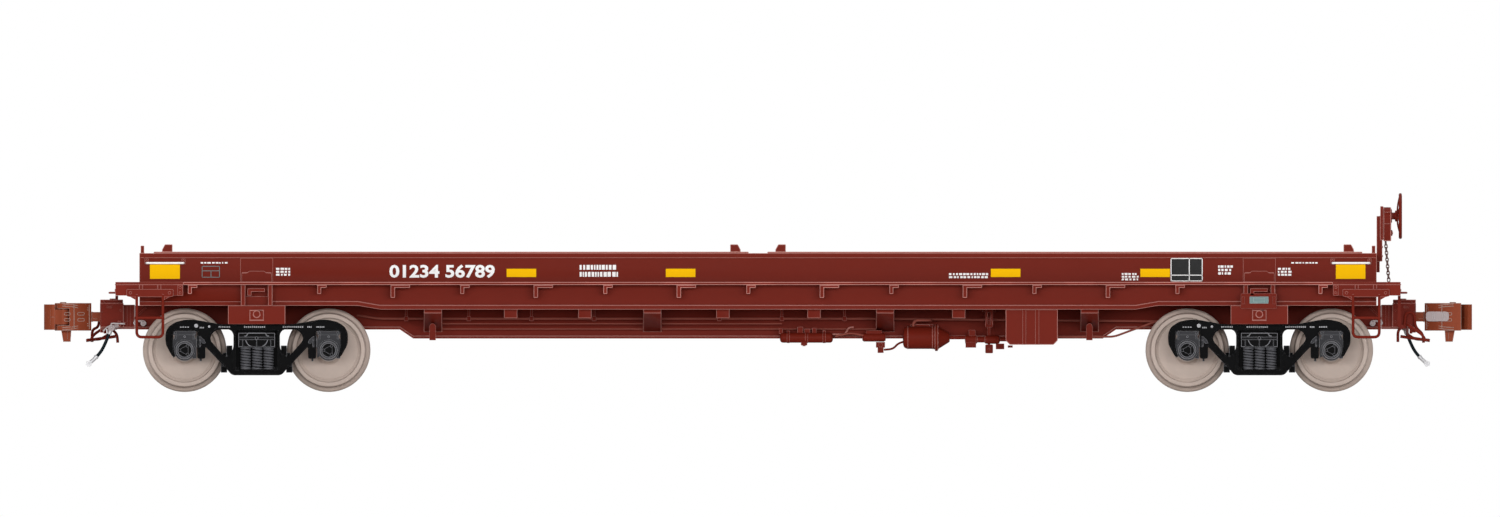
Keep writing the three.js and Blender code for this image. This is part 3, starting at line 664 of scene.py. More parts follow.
def plate(outer: Points, holes: Sequence[Points], axis: str, start: float, end: float) -> Shell:
    """A flat plate with holes: point(s, t) = loop(t) + s * axis on every edge, and triangles between the
    loops on both faces.

    Args:
        outer: the outline as (a, b) points, where a and b are the other two axes in X, Y, Z order.
        holes: the holes' outlines.
        axis: "X", "Y" or "Z".
        start: one face's place along the axis.
        end: the other face's place.

    Returns:
        Points and faces.
    """
    def wound(loop: Points, left: bool) -> Points:
        """The loop turned anticlockwise if left, clockwise if not."""
        area = np.sum(loop[:, 0] * np.roll(loop[:, 1], -1) - np.roll(loop[:, 0], -1) * loop[:, 1])
        return loop if (area > 0) == left else loop[::-1]

    loops = [wound(np.asarray(outer, float), True)] + [wound(np.asarray(h, float), False) for h in holes]
    flat = np.concatenate(loops)
    triangles = np.array(tessellate_polygon([[Vector((a, b, 0)) for a, b in loop] for loop in loops]))
    a, b, c = (flat[triangles[:, k]] for k in range(3))
    turn = (b - a)[:, 0] * (c - a)[:, 1] - (b - a)[:, 1] * (c - a)[:, 0]
    triangles[turn < 0] = triangles[turn < 0][:, ::-1]
    place, count = "XYZ".index(axis), len(flat)
    low, high = min(start, end), max(start, end)
    points = np.concatenate([np.insert(flat, place, value, axis=1) for value in (low, high)])
    faces = triangles[:, ::-1].tolist() + (triangles + count).tolist()
    first = 0
    for loop in loops:
        i = np.arange(len(loop))
        j = (i + 1) % len(loop)
        faces += np.stack([first + i, first + j, count + first + j, count + first + i], 1).tolist()
        first += len(loop)
    if axis == "Y":
        faces = [face[::-1] for face in faces]
    return points, faces


# ------------------------------------------------------------------------------------------ the assemblies


class Side(Enum):
    """A side of the car: left is +Y."""

    LEFT = "left"
    RIGHT = "right"

    def place(self, shell: Shell) -> Shell:
        """A shell made for the left side, put on this side."""
        return shell if self is Side.LEFT else mirrored(shell, "Y")


class End(Enum):
    """An end of the car: B has the hand brake and is at +X."""

    A = "a"
    B = "b"

    def place(self, shell: Shell) -> Shell:
        """A shell made for the B end, turned half round for the A end."""
        return shell if self is End.B else half_turn(shell)

    @property
    def sign(self) -> int:
        """+1 at the B end, -1 at the A end."""
        return 1 if self is End.B else -1


def pivot(joint: str) -> Points:
    """A joint's place in millimetres."""
    return np.array(next(j["pos_m"] for j in frame["joints"] if j["name"] == joint)) / MM


def box_mm(node: str) -> tuple[Points, Points]:
    """A CAD node's lowest and highest corners in millimetres."""
    low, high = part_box(node)
    return np.array(low) / MM, np.array(high) / MM


@dataclass
class Superstructure:
    """Deck, girders, load strips, walkways and end platforms, with the fittings on the girders."""

    web: float = 14.75  # |y| of the girders' outer face
    seam: float = 0.06  # how far seams and doubler plates stand out
    trucks: list[float] = field(default_factory=lambda: [pivot(f"truck_{e}_swivel")[0] for e in "ab"])

    def panels(self) -> None:
        """Dresses the CAD nodes."""
        for side in Side:
            dressed(f"side_girder_{side.value}", BODY, 0.11)
            dressed(f"walkway_{side.value}", TREAD, 0.1)
        for end in End:
            dressed(f"end_platform_{end.value}", TREAD, 0.09)
        dressed("deck_plate", BODY, 0.06)

    def load_strips(self) -> None:
        """The strips that the load rests on, each with a sloped stop block near both its ends."""
        inner = np.array([(3.95, 19.9), (3.95, 20.98), (2.87, 20.98), (2.47, 20.23), (2.47, 19.9)])
        outer = np.array([(83.22, 19.9), (84.7, 19.9), (84.7, 20.23), (84.3, 20.98), (83.22, 20.98)])
        shells = [block((1.33, 13.8, 19.73), (85.9, 15.0, 19.94)),
                  prism(inner, "Y", 14.0, 14.9), prism(outer, "Y", 14.0, 14.9)]
        for side in Side:
            for end in End:
                placed = shells if end is End.B else [mirrored(shell, "X") for shell in shells]
                placed = placed if side is Side.LEFT else [mirrored(shell, "Y") for shell in placed]
                name = f"load_strip_{end.value}_{side.value}"
                Piece(f"{name}_skin", BODY).add(*placed).make("car", "body_paint", 0.09, [name])

    def doublers(self) -> None:
        """The doubler plates, humps, hooks and pads on the girders over each truck."""
        w = self.web
        hump = rounded([(-2.15, 15.63), (-2.15, 16.9), (-1.3, 16.95), (-1.1, 17.2), (1.1, 17.2), (1.3, 16.95),
                        (2.15, 16.9), (2.15, 15.63)], 0.15, 4)
        hook = np.array([(-1.3, 14.72), (1.15, 14.72), (1.15, 14.25), (-0.75, 14.25), (-0.75, 13.72),
                         (-1.3, 13.72)])
        for side in Side:
            piece = Piece(f"girder_doublers_{side.value}", BODY)
            for x in self.trucks:
                parts = [
                    block((x - 2.32, w - 0.1, 15.64), (x + 2.32, w + self.seam, 19.04)),
                    moved(prism(hump, "Y", w - 0.1, w + 0.32), (x, 0, 0)),
                    moved(prism(hook, "Y", 16.2, 16.75), (x, 0, 0)),
                    block((x - 1.7, w - 0.1, 12.3), (x + 1.7, w + 0.55, 13.59)),
                ]
                piece.add(*[side.place(part) for part in parts])
            piece.make("car", "body_paint", 0.05)

    def web_seams(self) -> None:
        """Thin weld seams across the deck, where sheets meet."""
        deck_low, deck_high = box_mm("deck_plate")
        places = np.linspace(deck_low[0], deck_high[0], 10)[1:-1]
        seams = Piece("deck_seams", BODY)
        half = np.array([(0.0, -0.2), (0.13, -0.12), (0.18, 0.0), (-0.18, 0.0), (-0.13, -0.12)])
        for x in places:
            line = np.array([(x, deck_low[1] + 0.1, deck_high[2]), (x, deck_high[1] - 0.1, deck_high[2])])
            bead = np.stack([0.17 * np.cos(np.linspace(0, 2 * math.pi, 8, endpoint=False)),
                             0.07 * np.sin(np.linspace(0, 2 * math.pi, 8, endpoint=False))], 1)[::-1]
            seams.add(swept(line, bead, (0, 0, 1)))
        seams.make("car", "body_paint", 0.0)
        del half

    def platform_trim(self) -> None:
        """The plate line, lugs and bolted brackets along the platforms' sides and ends."""
        skirt = 17.6
        for end in End:
            trim = Piece(f"platform_trim_{end.value}", BODY)
            for s in (-1, 1):
                ys = sorted((s * (skirt - 0.1), s * (skirt + 0.09)))
                shells = [block((81.72, ys[0], 15.2), (91.33, ys[1], 15.32))]
                for x in (85.1, 87.7):
                    shells.append(block((x - 0.28, ys[0], 14.66), (x - 0.16, ys[1], 15.2)))
                    shells.append(block((x + 0.16, ys[0], 14.66), (x + 0.28, ys[1], 15.2)))
                shells.append(block((81.78, ys[0], 13.72), (82.5, ys[1], 15.2)))
                for z in (14.1, 14.85):
                    shells.append(hexagon((82.14, s * (skirt + 0.08), z), "Y", 0.2, s * 0.1))
                trim.add(*[end.place(shell) for shell in shells])
            bolts = [hexagon((91.33, y, 14.45), "X", 0.2, 0.1) for y in (-15.9, -7.6, 7.6, 15.9)]
            trim.add(*[end.place(shell) for shell in [block((91.25, -17.55, 15.2), (91.42, 17.55, 15.32)),
                                                      *bolts]])
            trim.make("car", "body_paint", 0.035)

    def tag_holder(self) -> None:
        """The bracket plate with the grey tag, on the right girder over the B truck and left over the A truck."""
        for end in End:
            x = abs(self.trucks[1])
            bracket = plate(rounded([(x - 2.65, 11.85), (x + 2.45, 11.85), (x + 2.45, 14.0),
                                     (x - 2.65, 14.0)], 0.15, 4, True),
                            [], "Y", -16.75, -16.5)
            ears = [block((x + a, -17.0, 12.5), (x + a + 0.42, -16.6, 13.55)) for a in (-2.5, 1.9)]
            Piece(f"tag_bracket_{end.value}", BODY).add(*[end.place(s) for s in (bracket, *ears)]).make(
                "car", "body_paint", 0.05)
            tag = block((x - 1.38, -16.95, 12.58), (x + 1.3, -16.7, 13.55))
            core = block((x - 0.85, -17.03, 12.76), (x + 0.75, -16.8, 13.36))
            Piece(f"tag_{end.value}", TAG).add(*[end.place(s) for s in (tag, core)]).make("car", "grey_tag",
                                                                                          0.04)

    def build(self) -> None:
        """Makes the whole superstructure."""
        self.panels()
        self.load_strips()
        self.doublers()
        self.web_seams()
        self.platform_trim()
        self.tag_holder()
        LOG.info("superstructure done")


@dataclass
class Markings:
    """Printed panels, a running row of digits and blocks of plain bars on both girders."""

    face: float = -14.75  # y of the right girder's outer face
    ink: float = 0.035  # thickness of a printed layer

    def panel(self, x0: float, x1: float, z0: float, z1: float, lift: float = 0.0) -> Shell:
        """A thin printed rectangle on the right girder, lift above its face."""
        return block((x0, self.face - lift - self.ink, z0), (x1, self.face - lift + 0.01, z1))

    def lettering(self, text: str, x0: float, x1: float, z0: float, z1: float, bold: float = 0.02) -> Shell:
        """Plain digits fitted into a rectangle on the right girder.

        Args:
            text: the digits.
            x0: left edge.
            x1: right edge.
            z0: lower edge.
            z1: upper edge.
            bold: how much the strokes are thickened, as a share of the digits' height.

        Returns:
            Points and faces, read from the right side.
        """
        curve = bpy.data.curves.new("digits", "FONT")
        curve.body = text
        curve.extrude = 0.02
        curve.offset = bold
        curve.resolution_u = 3
        holder = bpy.data.objects.new("digits", curve)
        bpy.context.scene.collection.objects.link(holder)
        mesh = bpy.data.meshes.new_from_object(holder.evaluated_get(bpy.context.evaluated_depsgraph_get()))
        points = np.empty(len(mesh.vertices) * 3, np.float32)
        mesh.vertices.foreach_get("co", points)
        points = points.reshape(-1, 3).astype(float)
        faces = [list(p.vertices) for p in mesh.polygons]
        bpy.data.objects.remove(holder)
        bpy.data.curves.remove(curve)
        bpy.data.meshes.remove(mesh)
        low, high = points.min(0), points.max(0)
        share = (points - low) / (high - low)
        placed = np.stack([x0 + share[:, 0] * (x1 - x0),
                           self.face - self.ink * share[:, 2],
                           z0 + share[:, 1] * (z1 - z0)], axis=1)
        return placed, faces

    def bars(self, x0: float, x1: float, z0: float, z1: float, rows: int, seed: int) -> list[Shell]:
        """Rows of short bars that stand for small print.

        Args:
            x0: left edge.
            x1: right edge.
            z0: lower edge.
            z1: upper edge.
            rows: how many rows.
            seed: sets the bars' lengths.

        Returns:
            The bars.
        """
        draw = np.random.default_rng(seed)
        pitch = (z1 - z0) / rows
        made = []
        for row in range(rows):
            z = z1 - (row + 1) * pitch
            x = x0
            while x < x1 - 0.2:
                width = min(draw.uniform(0.18, 0.5), x1 - x)
                made.append(self.panel(x, x + width, z + pitch * 0.18, z + pitch * 0.86))
                x += width + draw.uniform(0.09, 0.22)
        return made

    def frame_lines(self, x0: float, x1: float, z0: float, z1: float, line: float, lift: float,
                    across: Sequence[float] = (),
                    upright: Sequence[tuple[float, float, float]] = ()) -> list[Shell]:
        """A printed frame with dividing lines."""
        made = [self.panel(x0, x1, z0, z0 + line, lift), self.panel(x0, x1, z1 - line, z1, lift),
                self.panel(x0, x0 + line, z0, z1, lift), self.panel(x1 - line, x1, z0, z1, lift)]
        made += [self.panel(x0, x1, z - line / 2, z + line / 2, lift) for z in across]
        made += [self.panel(x - line / 2, x + line / 2, low, high, lift) for x, low, high in upright]
        return made

    def build(self) -> None:
        """Prints both sides; the left side reads the same as the right."""
        yellow = [self.panel(-86.43, -82.17, 16.08, 18.15), self.panel(82.14, 86.33, 16.08, 18.15)]
        yellow += [self.panel(x, x + 4.2, 16.34, 17.51) for x in (-35.73, -13.1, 33.1, 54.35)]
        white = [self.lettering("01234 56789", -52.4, -37.4, 16.2, 18.1, 0.03)]
        white += self.bars(-25.35, -19.9, 16.2, 18.2, 2, 8)
        white += self.bars(27.15, 32.8, 16.1, 16.95, 2, 1) + self.bars(51.7, 54.1, 15.8, 16.95, 3, 2)
        white += self.bars(65.4, 67.5, 16.6, 18.05, 3, 3)
        white += self.bars(-68.5, -66.5, 16.45, 17.7, 3, 4) + self.bars(73.9, 75.9, 16.45, 17.7, 3, 5)
        white += self.bars(-79.2, -75.4, 18.2, 18.5, 1, 6) + self.bars(75.8, 79.6, 18.2, 18.5, 1, 7)
        white += self.frame_lines(58.65, 63.2, 15.72, 19.03, 0.12, self.ink, (16.6,), ((61.3, 15.72, 19.03),))
        data = self.frame_lines(-79.05, -76.5, 16.27, 17.9, 0.08, 0.0, (17.22,), ((-77.75, 16.27, 17.22),))
        black = [self.panel(58.65, 63.2, 15.72, 19.03)]
        for side, turn in (("right", lambda s: s), ("left", half_turn)):
            for name, finish, shells, slot in (("yellow_panels", YELLOW, yellow, "yellow_marking"),
                                               ("white_markings", WHITE, white, "white_marking"),
                                               ("data_frame", TAG, data, "grey_tag"),
                                               ("black_label", LABEL, black, "black_marking")):
                Piece(f"{name}_{side}", finish).add(*[turn(s) for s in shells]).make("car", slot, 0.0)
        LOG.info("markings done")


@dataclass
class SafetyGear:
    """Stirrup steps and grab irons at the four corners."""

    step_y: float = 17.73
    plate_y: tuple[float, float] = (17.6, 17.86)
    web: float = 14.75

    def stirrup(self) -> list[Shell]:
        """The step for the B end's left corner: bolted plate, bent rod and rung."""
        plate_line = rounded([(83.1, 13.62), (83.6, 13.5), (89.25, 13.5), (89.75, 13.62), (89.75, 14.61),
                              (83.1, 14.61)], 0.12, 3, True)
        loop = rounded([(84.58, self.step_y, 13.9), (84.58, self.step_y, 7.8), (88.3, self.step_y, 7.8),
                        (88.3, self.step_y, 13.9)], 0.75, 8)
        rung = np.array([(84.6, self.step_y, 10.55), (88.3, self.step_y, 10.55)])
        bolts = [hexagon((x, self.plate_y[1] - 0.02, 14.1), "Y", 0.24, 0.09) for x in (83.65, 89.2)]
        gussets = [prism(np.array([(x, 13.55), (x + d, 13.55), (x, 13.1)]), "Y", *self.plate_y)
                   for x, d in ((84.4, -0.8), (88.5, 0.8))]
        return [prism(plate_line, "Y", *self.plate_y), tube(loop, 0.205, 12, (0, 1, 0)),
                tube(rung, 0.2, 12, (0, 1, 0)), *bolts, *gussets]

    def grab_iron(self) -> tuple[list[Shell], list[Shell]]:
        """The wire and its two feet for the B end's left corner."""
        out, z = self.web + 0.82, 18.32
        bar = rounded([(81.65, self.web, z), (81.65, out, z), (86.9, out, z), (86.9, self.web, z)], 0.3, 6)
        feet = []
        for x in (81.65, 86.9):
            feet.append(prism(rounded([(x - 0.3, 18.12), (x + 0.3, 18.12), (x + 0.3, 18.95),
                                       (x - 0.3, 18.95)],
                                      0.12, 3, True), "Y", self.web - 0.05, self.web + 0.22))
            feet.append(hexagon((x, self.web + 0.2, 18.68), "Y", 0.17, 0.12))
        return [tube(bar, 0.15, 12, (0, 0, 1))], feet

    def build(self) -> None:
        """Makes all four corners."""
        for end in End:
            for side in Side:
                def corner(shell: Shell) -> Shell:
                    """A shell for this corner."""
                    shell = shell if end is End.B else mirrored(shell, "X")
                    return side.place(shell)

                tag = f"{end.value}_{side.value}"
                Piece(f"stirrup_rod_{tag}", BODY).add(*[corner(s) for s in self.stirrup()]).make(
                    "car", "body_paint", 0.04, [f"stirrup_{tag}"])
                wire, feet = self.grab_iron()
                Piece(f"grab_wire_{tag}", WHITE).add(*[corner(s) for s in wire]).make(
                    "car", "white_wire", 0.0, [f"grab_iron_{tag}"])
                Piece(f"grab_feet_{tag}", BODY).add(*[corner(s) for s in feet]).make("car", "body_paint",
                                                                                     0.04)
        LOG.info("safety gear done")


@dataclass
class Underframe:
    """Centre sill, crossbearers and floor, with the air piping and brake rigging hung below."""

    pipe: float = 0.16  # radius of the train pipe
    thin: float = 0.1  # radius of small pipes

    def frame(self) -> None:
        """Dresses the CAD nodes."""
        dressed("underframe", BODY, 0.06)
        for end in End:
            dressed(f"body_bolster_{end.value}", BODY, 0.07)
        dressed("car_weight", STEEL, 0.06)

    def run(self, *points: Sequence[float], radius: float | None = None, bend: float = 0.7) -> Shell:
        """A bent pipe through the points."""
        return tube(rounded(points, bend, 6), radius or self.pipe, 12, (0.05, 0.9, 0.2))

    def piping(self) -> None:
        """The train pipe, the branch pipes and the straps that hold them, all on the right side."""
        y = -4.1
        pipes = Piece("train_pipe", PIPE)
        pipes.add(self.run((-57.0, -2.6, 10.9), (-53.8, y, 10.42), (14.2, y, 10.42), (15.6, y, 10.42),
                           (58.5, y, 10.03), (61.0, -2.8, 10.3)))
        pipes.add(self.run((-46.2, y + 0.3, 9.7), (3.4, y + 0.3, 9.7), radius=self.thin))
        pipes.add(self.run((-46.2, -3.0, 8.95), (14.0, -3.0, 8.95), (17.4, -3.4, 8.95), radius=self.thin))
        pipes.add(self.run((22.1, -5.6, 8.9), (22.1, -5.6, 10.2), (24.6, -5.2, 10.2), (24.6, -3.9, 10.2),
                           radius=0.2))
        pipes.add(self.run((42.0, -8.6, 7.85), (50.6, -7.0, 7.85), (56.6, -5.4, 10.05), (61.0, -4.4, 10.2),
                           radius=0.15))
        pipes.add(self.run((11.0, -3.9, 7.9), (13.1, -4.4, 8.4), (15.2, -5.0, 8.0), radius=0.14))
        pipes.make("car", "body_paint", 0.0)
        straps = Piece("pipe_straps", BODY)
        outline = rounded([(-0.45, 7.35), (-0.45, 9.4), (-0.2, 9.75), (0.2, 9.75), (0.45, 9.4),
                           (0.45, 7.35)], 0.15, 3)
        for x in (-46.25, 47.1):
            straps.add(moved(prism(outline, "Y", -8.2, -7.8), (x, 0, 0)))
            straps.add(block((x - 0.3, -8.0, 9.3), (x + 0.3, -2.0, 9.6)))
        clip = rounded([(-0.28, 10.1), (-0.28, 10.75), (0.28, 10.75), (0.28, 10.1)], 0.1, 3)
        for x in np.arange(-50.0, 14.0, 8.9):
            straps.add(moved(prism(clip, "Y", y - 0.26, y + 0.26), (x, 0, 0)))
            straps.add(block((x - 0.16, y - 0.1, 10.7), (x + 0.16, y + 0.1, 12.2)))
        straps.make("car", "body_paint", 0.03)

    def reservoir(self) -> None:
        """The long small tank with its bands, end caps and drain."""
        y, z, r = -3.9, 7.72, 0.72
        tank = Piece("air_reservoir_tank", BODY)
        profile = [(0.0, 3.11), (0.36, 3.13), (0.6, 3.24), (0.7, 3.42), (0.72, 3.6), (0.72, 10.2),
                   (0.7, 10.36),
                   (0.6, 10.53), (0.36, 10.64), (0.0, 10.66)]
        tank.add(turned(profile, (0, y, z), "X", 40))
        for x in (4.3, 6.9, 9.4):
            tank.add(ring((0.66, r + 0.05), (x - 0.2, x + 0.2), (0, y, z), "X", 40))
            tank.add(block((x - 0.2, y + 0.3, 8.2), (x + 0.2, y + 1.9, 8.75)))
        tank.add(block((6.1, y - 0.4, 6.62), (7.0, y + 0.4, 7.2)))
        for x0, x1, z1 in ((3.0, 3.5, 9.0), (5.6, 6.4, 9.25), (6.6, 7.4, 8.95), (7.7, 8.3, 9.1)):
            tank.add(block((x0, y - 0.2, 8.3), (x1, y + 0.5, z1)))
        tank.add(tube(rounded([(10.4, y, 8.2), (12.4, y, 8.2), (12.9, y, 9.2), (13.6, y, 9.2)], 0.4, 5),
                      0.13, 8))
        tank.add(hexagon((6.55, y, 6.5), "Z", 0.24, 0.15))
        tank.make("car", "body_paint", 0.04, ["air_reservoir"])

    def cylinder(self) -> None:
        """The brake cylinder with its flange, bolts, pipe joint and brackets."""
        y, z = -5.6, 7.72
        body = Piece("brake_cylinder_body", BODY)
        profile = [(0.0, 20.58), (0.9, 20.6), (1.35, 20.75), (1.52, 21.0), (1.6, 21.35), (1.6, 24.9),
                   (1.66, 25.0),
                   (1.66, 25.14), (1.9, 25.16), (1.9, 25.56), (1.66, 25.58), (1.6, 25.66), (0.66, 27.16),
                   (0.55, 27.24),
                   (0.0, 27.26)]
        body.add(turned(profile, (0, y, z), "X", 56))
        for turn in np.arange(8) * math.pi / 4 + math.pi / 8:
            place = (25.54, y + 1.72 * math.cos(turn), z + 1.72 * math.sin(turn))
            body.add(hexagon(place, "X", 0.15, 0.12))
        for x in (21.3, 24.8):
            body.add(ring((1.55, 1.64), (x - 0.06, x + 0.06), (0, y, z), "X", 48))
        body.add(block((22.2, -5.0, 8.9), (24.4, -3.9, 9.6)), block((21.7, -4.6, 9.3), (24.9, -2.2, 9.62)))
        body.make("car", "body_paint", 0.05, ["brake_cylinder"])

    def box(self) -> None:
        """The chamfered box with its two ribs."""
        dressed("equipment_box", BODY, 0.09)
        low, high = box_mm("equipment_box")
        trim = Piece("equipment_box_trim", BODY)
        for x0, x1 in ((37.6, 38.1), (39.4, 39.95)):
            trim.add(block((x0, low[1] - 0.1, low[2] + 0.02), (x1, low[1] + 0.4, high[2] - 0.02)))
        trim.make("car", "body_paint", 0.04)

    def rigging(self) -> None:
        """Small chamber, valve, slack adjuster, lever in its slotted guide and the push rod between them."""
        y = -5.6
        parts = Piece("brake_rigging", BODY)
        parts.add(turned([(0, 14.81), (0.45, 14.84), (0.6, 15.05), (0.61, 17.9), (0.45, 18.14), (0, 18.18)],
                         (0, -4.6, 7.76), "X", 32))
        parts.add(block((15.4, -4.9, 8.2), (17.6, -2.2, 8.75)))
        parts.add(block((16.77, -5.3, 6.3), (18.05, -4.2, 7.1)),
                  block((17.0, -5.1, 5.55), (17.85, -4.4, 6.35)))
        parts.add(turned([(0, 0.0), (0.3, 0.0), (0.34, 0.06), (0.34, 0.5), (0.3, 0.56), (0, 0.56)],
                         (17.4, -5.35, 6.7), "Y", 20))
        parts.add(self.run((17.9, -4.7, 6.0), (19.2, -4.9, 6.1), (19.9, -5.3, 6.9), (20.9, y, 7.2),
                           radius=0.15))
        parts.add(tube(np.array([(27.1, y, 7.72), (29.6, y, 7.72)]), 0.24, 16))
        parts.add(turned([(0, 29.4), (0.55, 29.45), (0.62, 29.7), (0.62, 31.0), (0.42, 31.2), (0.42, 32.2),
                          (0.6, 32.35),
                          (0.62, 34.1), (0.5, 34.3), (0.26, 34.4), (0.26, 36.2), (0, 36.22)], (0, y, 7.45),
                          "X", 32))
        parts.add(block((29.5, y - 0.55, 6.3), (31.0, y + 0.55, 7.1)),
                  block((30.0, y - 0.35, 8.0), (30.9, y + 0.35, 8.8)))
        parts.add(block((33.8, y - 0.45, 6.07), (35.0, y + 0.45, 6.88)),
                  block((35.5, y - 0.3, 6.3), (36.2, y + 0.3, 6.62)))
        guide = rounded([(32.3, 9.2), (33.4, 9.2), (33.4, 11.7), (32.3, 11.7)], 0.2, 4, True)
        slit = rounded([(32.65, 9.55), (33.05, 9.55), (33.05, 11.3), (32.65, 11.3)], 0.15, 4, True)
        parts.add(plate(guide, [slit], "Y", y - 0.5, y - 0.25), plate(guide, [slit], "Y", y + 0.25, y + 0.5))
        lever = rounded([(32.62, 5.83), (33.02, 5.83), (33.0, 10.69), (32.66, 10.69)], 0.12, 3, True)
        parts.add(prism(lever, "Y", y - 0.12, y + 0.12))
        parts.add(prism(rounded([(32.3, 5.5), (33.4, 5.5), (33.4, 6.75), (32.3, 6.75)], 0.15, 3, True), "Y",
                        y - 0.35, y + 0.35))
        for z in (6.1, 10.3):
            parts.add(turned([(0, -0.42), (0.17, -0.42), (0.17, 0.42), (0, 0.42)], (32.83, y, z), "Y", 16))
        parts.add(block((31.9, y + 0.2, 11.4), (33.8, -2.2, 11.72)),
                  block((29.9, y + 0.2, 8.5), (30.9, -2.2, 8.8)))
        parts.make("car", "body_paint", 0.035)

    def build(self) -> None:
        """Makes the whole underframe."""
        self.frame()
        self.piping()
        self.reservoir()
        self.cylinder()
        self.box()
        self.rigging()
        LOG.info("underframe done")


@dataclass
class HandBrake:
    """The hand brake at the B end: stand, geared housing, spoked wheel and chain."""

    y: float = -6.5
    hub_z: float = 25.01
    radius: float = 3.27

    def stand(self) -> None:
        """Dresses the stand and housing and adds their seams, bolts and brackets."""
        dressed("brake_stand", BODY, 0.06)
        dressed("brake_gear_housing", BODY, 0.12)
        y = self.y
        trim = Piece("brake_stand_trim", BODY)
        for z in (19.3, 20.6, 22.3, 24.3):
            trim.add(hexagon((88.72, y - 0.75, z), "X", 0.16, 0.1),
                     hexagon((88.72, y + 0.75, z), "X", 0.16, 0.1))
        for z in (22.0, 26.1):
            for dy in (-1.2, 1.2):
                trim.add(hexagon((88.87, y + dy, z), "X", 0.14, 0.09))
        for z in (23.9, 25.55):
            trim.add(block((88.95, y - 1.4, z - 0.05), (90.03, y + 1.4, z + 0.05)))
        trim.add(ring((0.62, 0.95), (89.9, 90.12), (0, y, self.hub_z), "X", 32))
        trim.add(rod(0.42, (89.9, 90.18), (0, y, 22.6), "X", 24), hexagon((90.15, y, 22.6), "X", 0.22, 0.1))
        trim.add(block((88.3, y - 1.1, 24.9), (88.75, y + 1.1, 25.02)))
        trim.make("car", "body_paint", 0.03)

    def spokes(self) -> list[Shell]:
        """Five flat spokes, each swept from the hub out to the rim: x = hub + rise * t^2."""
        made = []
        for k in range(5):
            angle = math.pi / 2 + k * 0.4 * math.pi
            t = np.linspace(0.0, 1.0, 12)
            reach = 0.4 + t * (self.radius - 0.25 - 0.4)
            path = np.stack([90.86 + 0.42 * t ** 2, self.y + reach * math.cos(angle),
                             self.hub_z + reach * math.sin(angle)], axis=1)
            section = circle(1.0, 10) * (0.42, 0.12)
            made.append(swept(path, section, (1, 0, 0)))
        return made

    def wheel(self) -> None:
        """The dished wheel on its shaft."""
        centre = (0, self.y, self.hub_z)
        rim_r = self.radius - 0.24
        section = [(rim_r + 0.24 * math.cos(a), 91.3 + 0.24 * math.sin(a)) for a in np.linspace(-math.pi,
                                                                                                math.pi, 17)]
        shaft = [(0, 89.6), (0.5, 89.6), (0.5, 90.5), (0.78, 90.56), (0.8, 90.95), (0.62, 91.08),
                 (0.34, 91.1),
                 (0.32, 91.22), (0, 91.24)]
        wheel = Piece("brake_wheel_cast", BODY)
        wheel.add(turned(section, centre, "X", 72), turned(shaft, centre, "X", 40), *self.spokes())
        wheel.add(hexagon((91.18, self.y, self.hub_z), "X", 0.2, 0.12))
        wheel.make("brake_wheel", "body_paint", 0.0, ["brake_wheel"], 40.0)

    def chain(self) -> None:
        """Oval links, each turned a quarter from the next, from the housing down to the platform."""
        top, bottom = np.array([89.2, self.y, 21.42]), np.array([89.66, self.y, 15.72])
        count = 12
        along = (bottom - top) / np.linalg.norm(bottom - top)
        t = np.linspace(0, 2 * math.pi, 20, endpoint=False)
        links = Piece("brake_chain_links", CHAIN)
        for k in range(count):
            middle = top + (bottom - top) * (k + 0.5) / count
            across = np.array([0.92, 0.38, 0.0]) if k % 2 else np.array([-0.38, 0.92, 0.0])
            across = across - along * np.dot(across, along)
            across /= np.linalg.norm(across)
            path = middle + 0.33 * np.sin(t)[:, None] * along + 0.2 * np.cos(t)[:, None] * across
            links.add(tube(path, 0.085, 8, np.cross(along, across), True))
        links.make("car", "bare_steel", 0.0, ["brake_chain"])

    def build(self) -> None:
        """Makes the hand brake."""
        self.stand()
        self.wheel()
        self.chain()
        LOG.info("hand brake done")


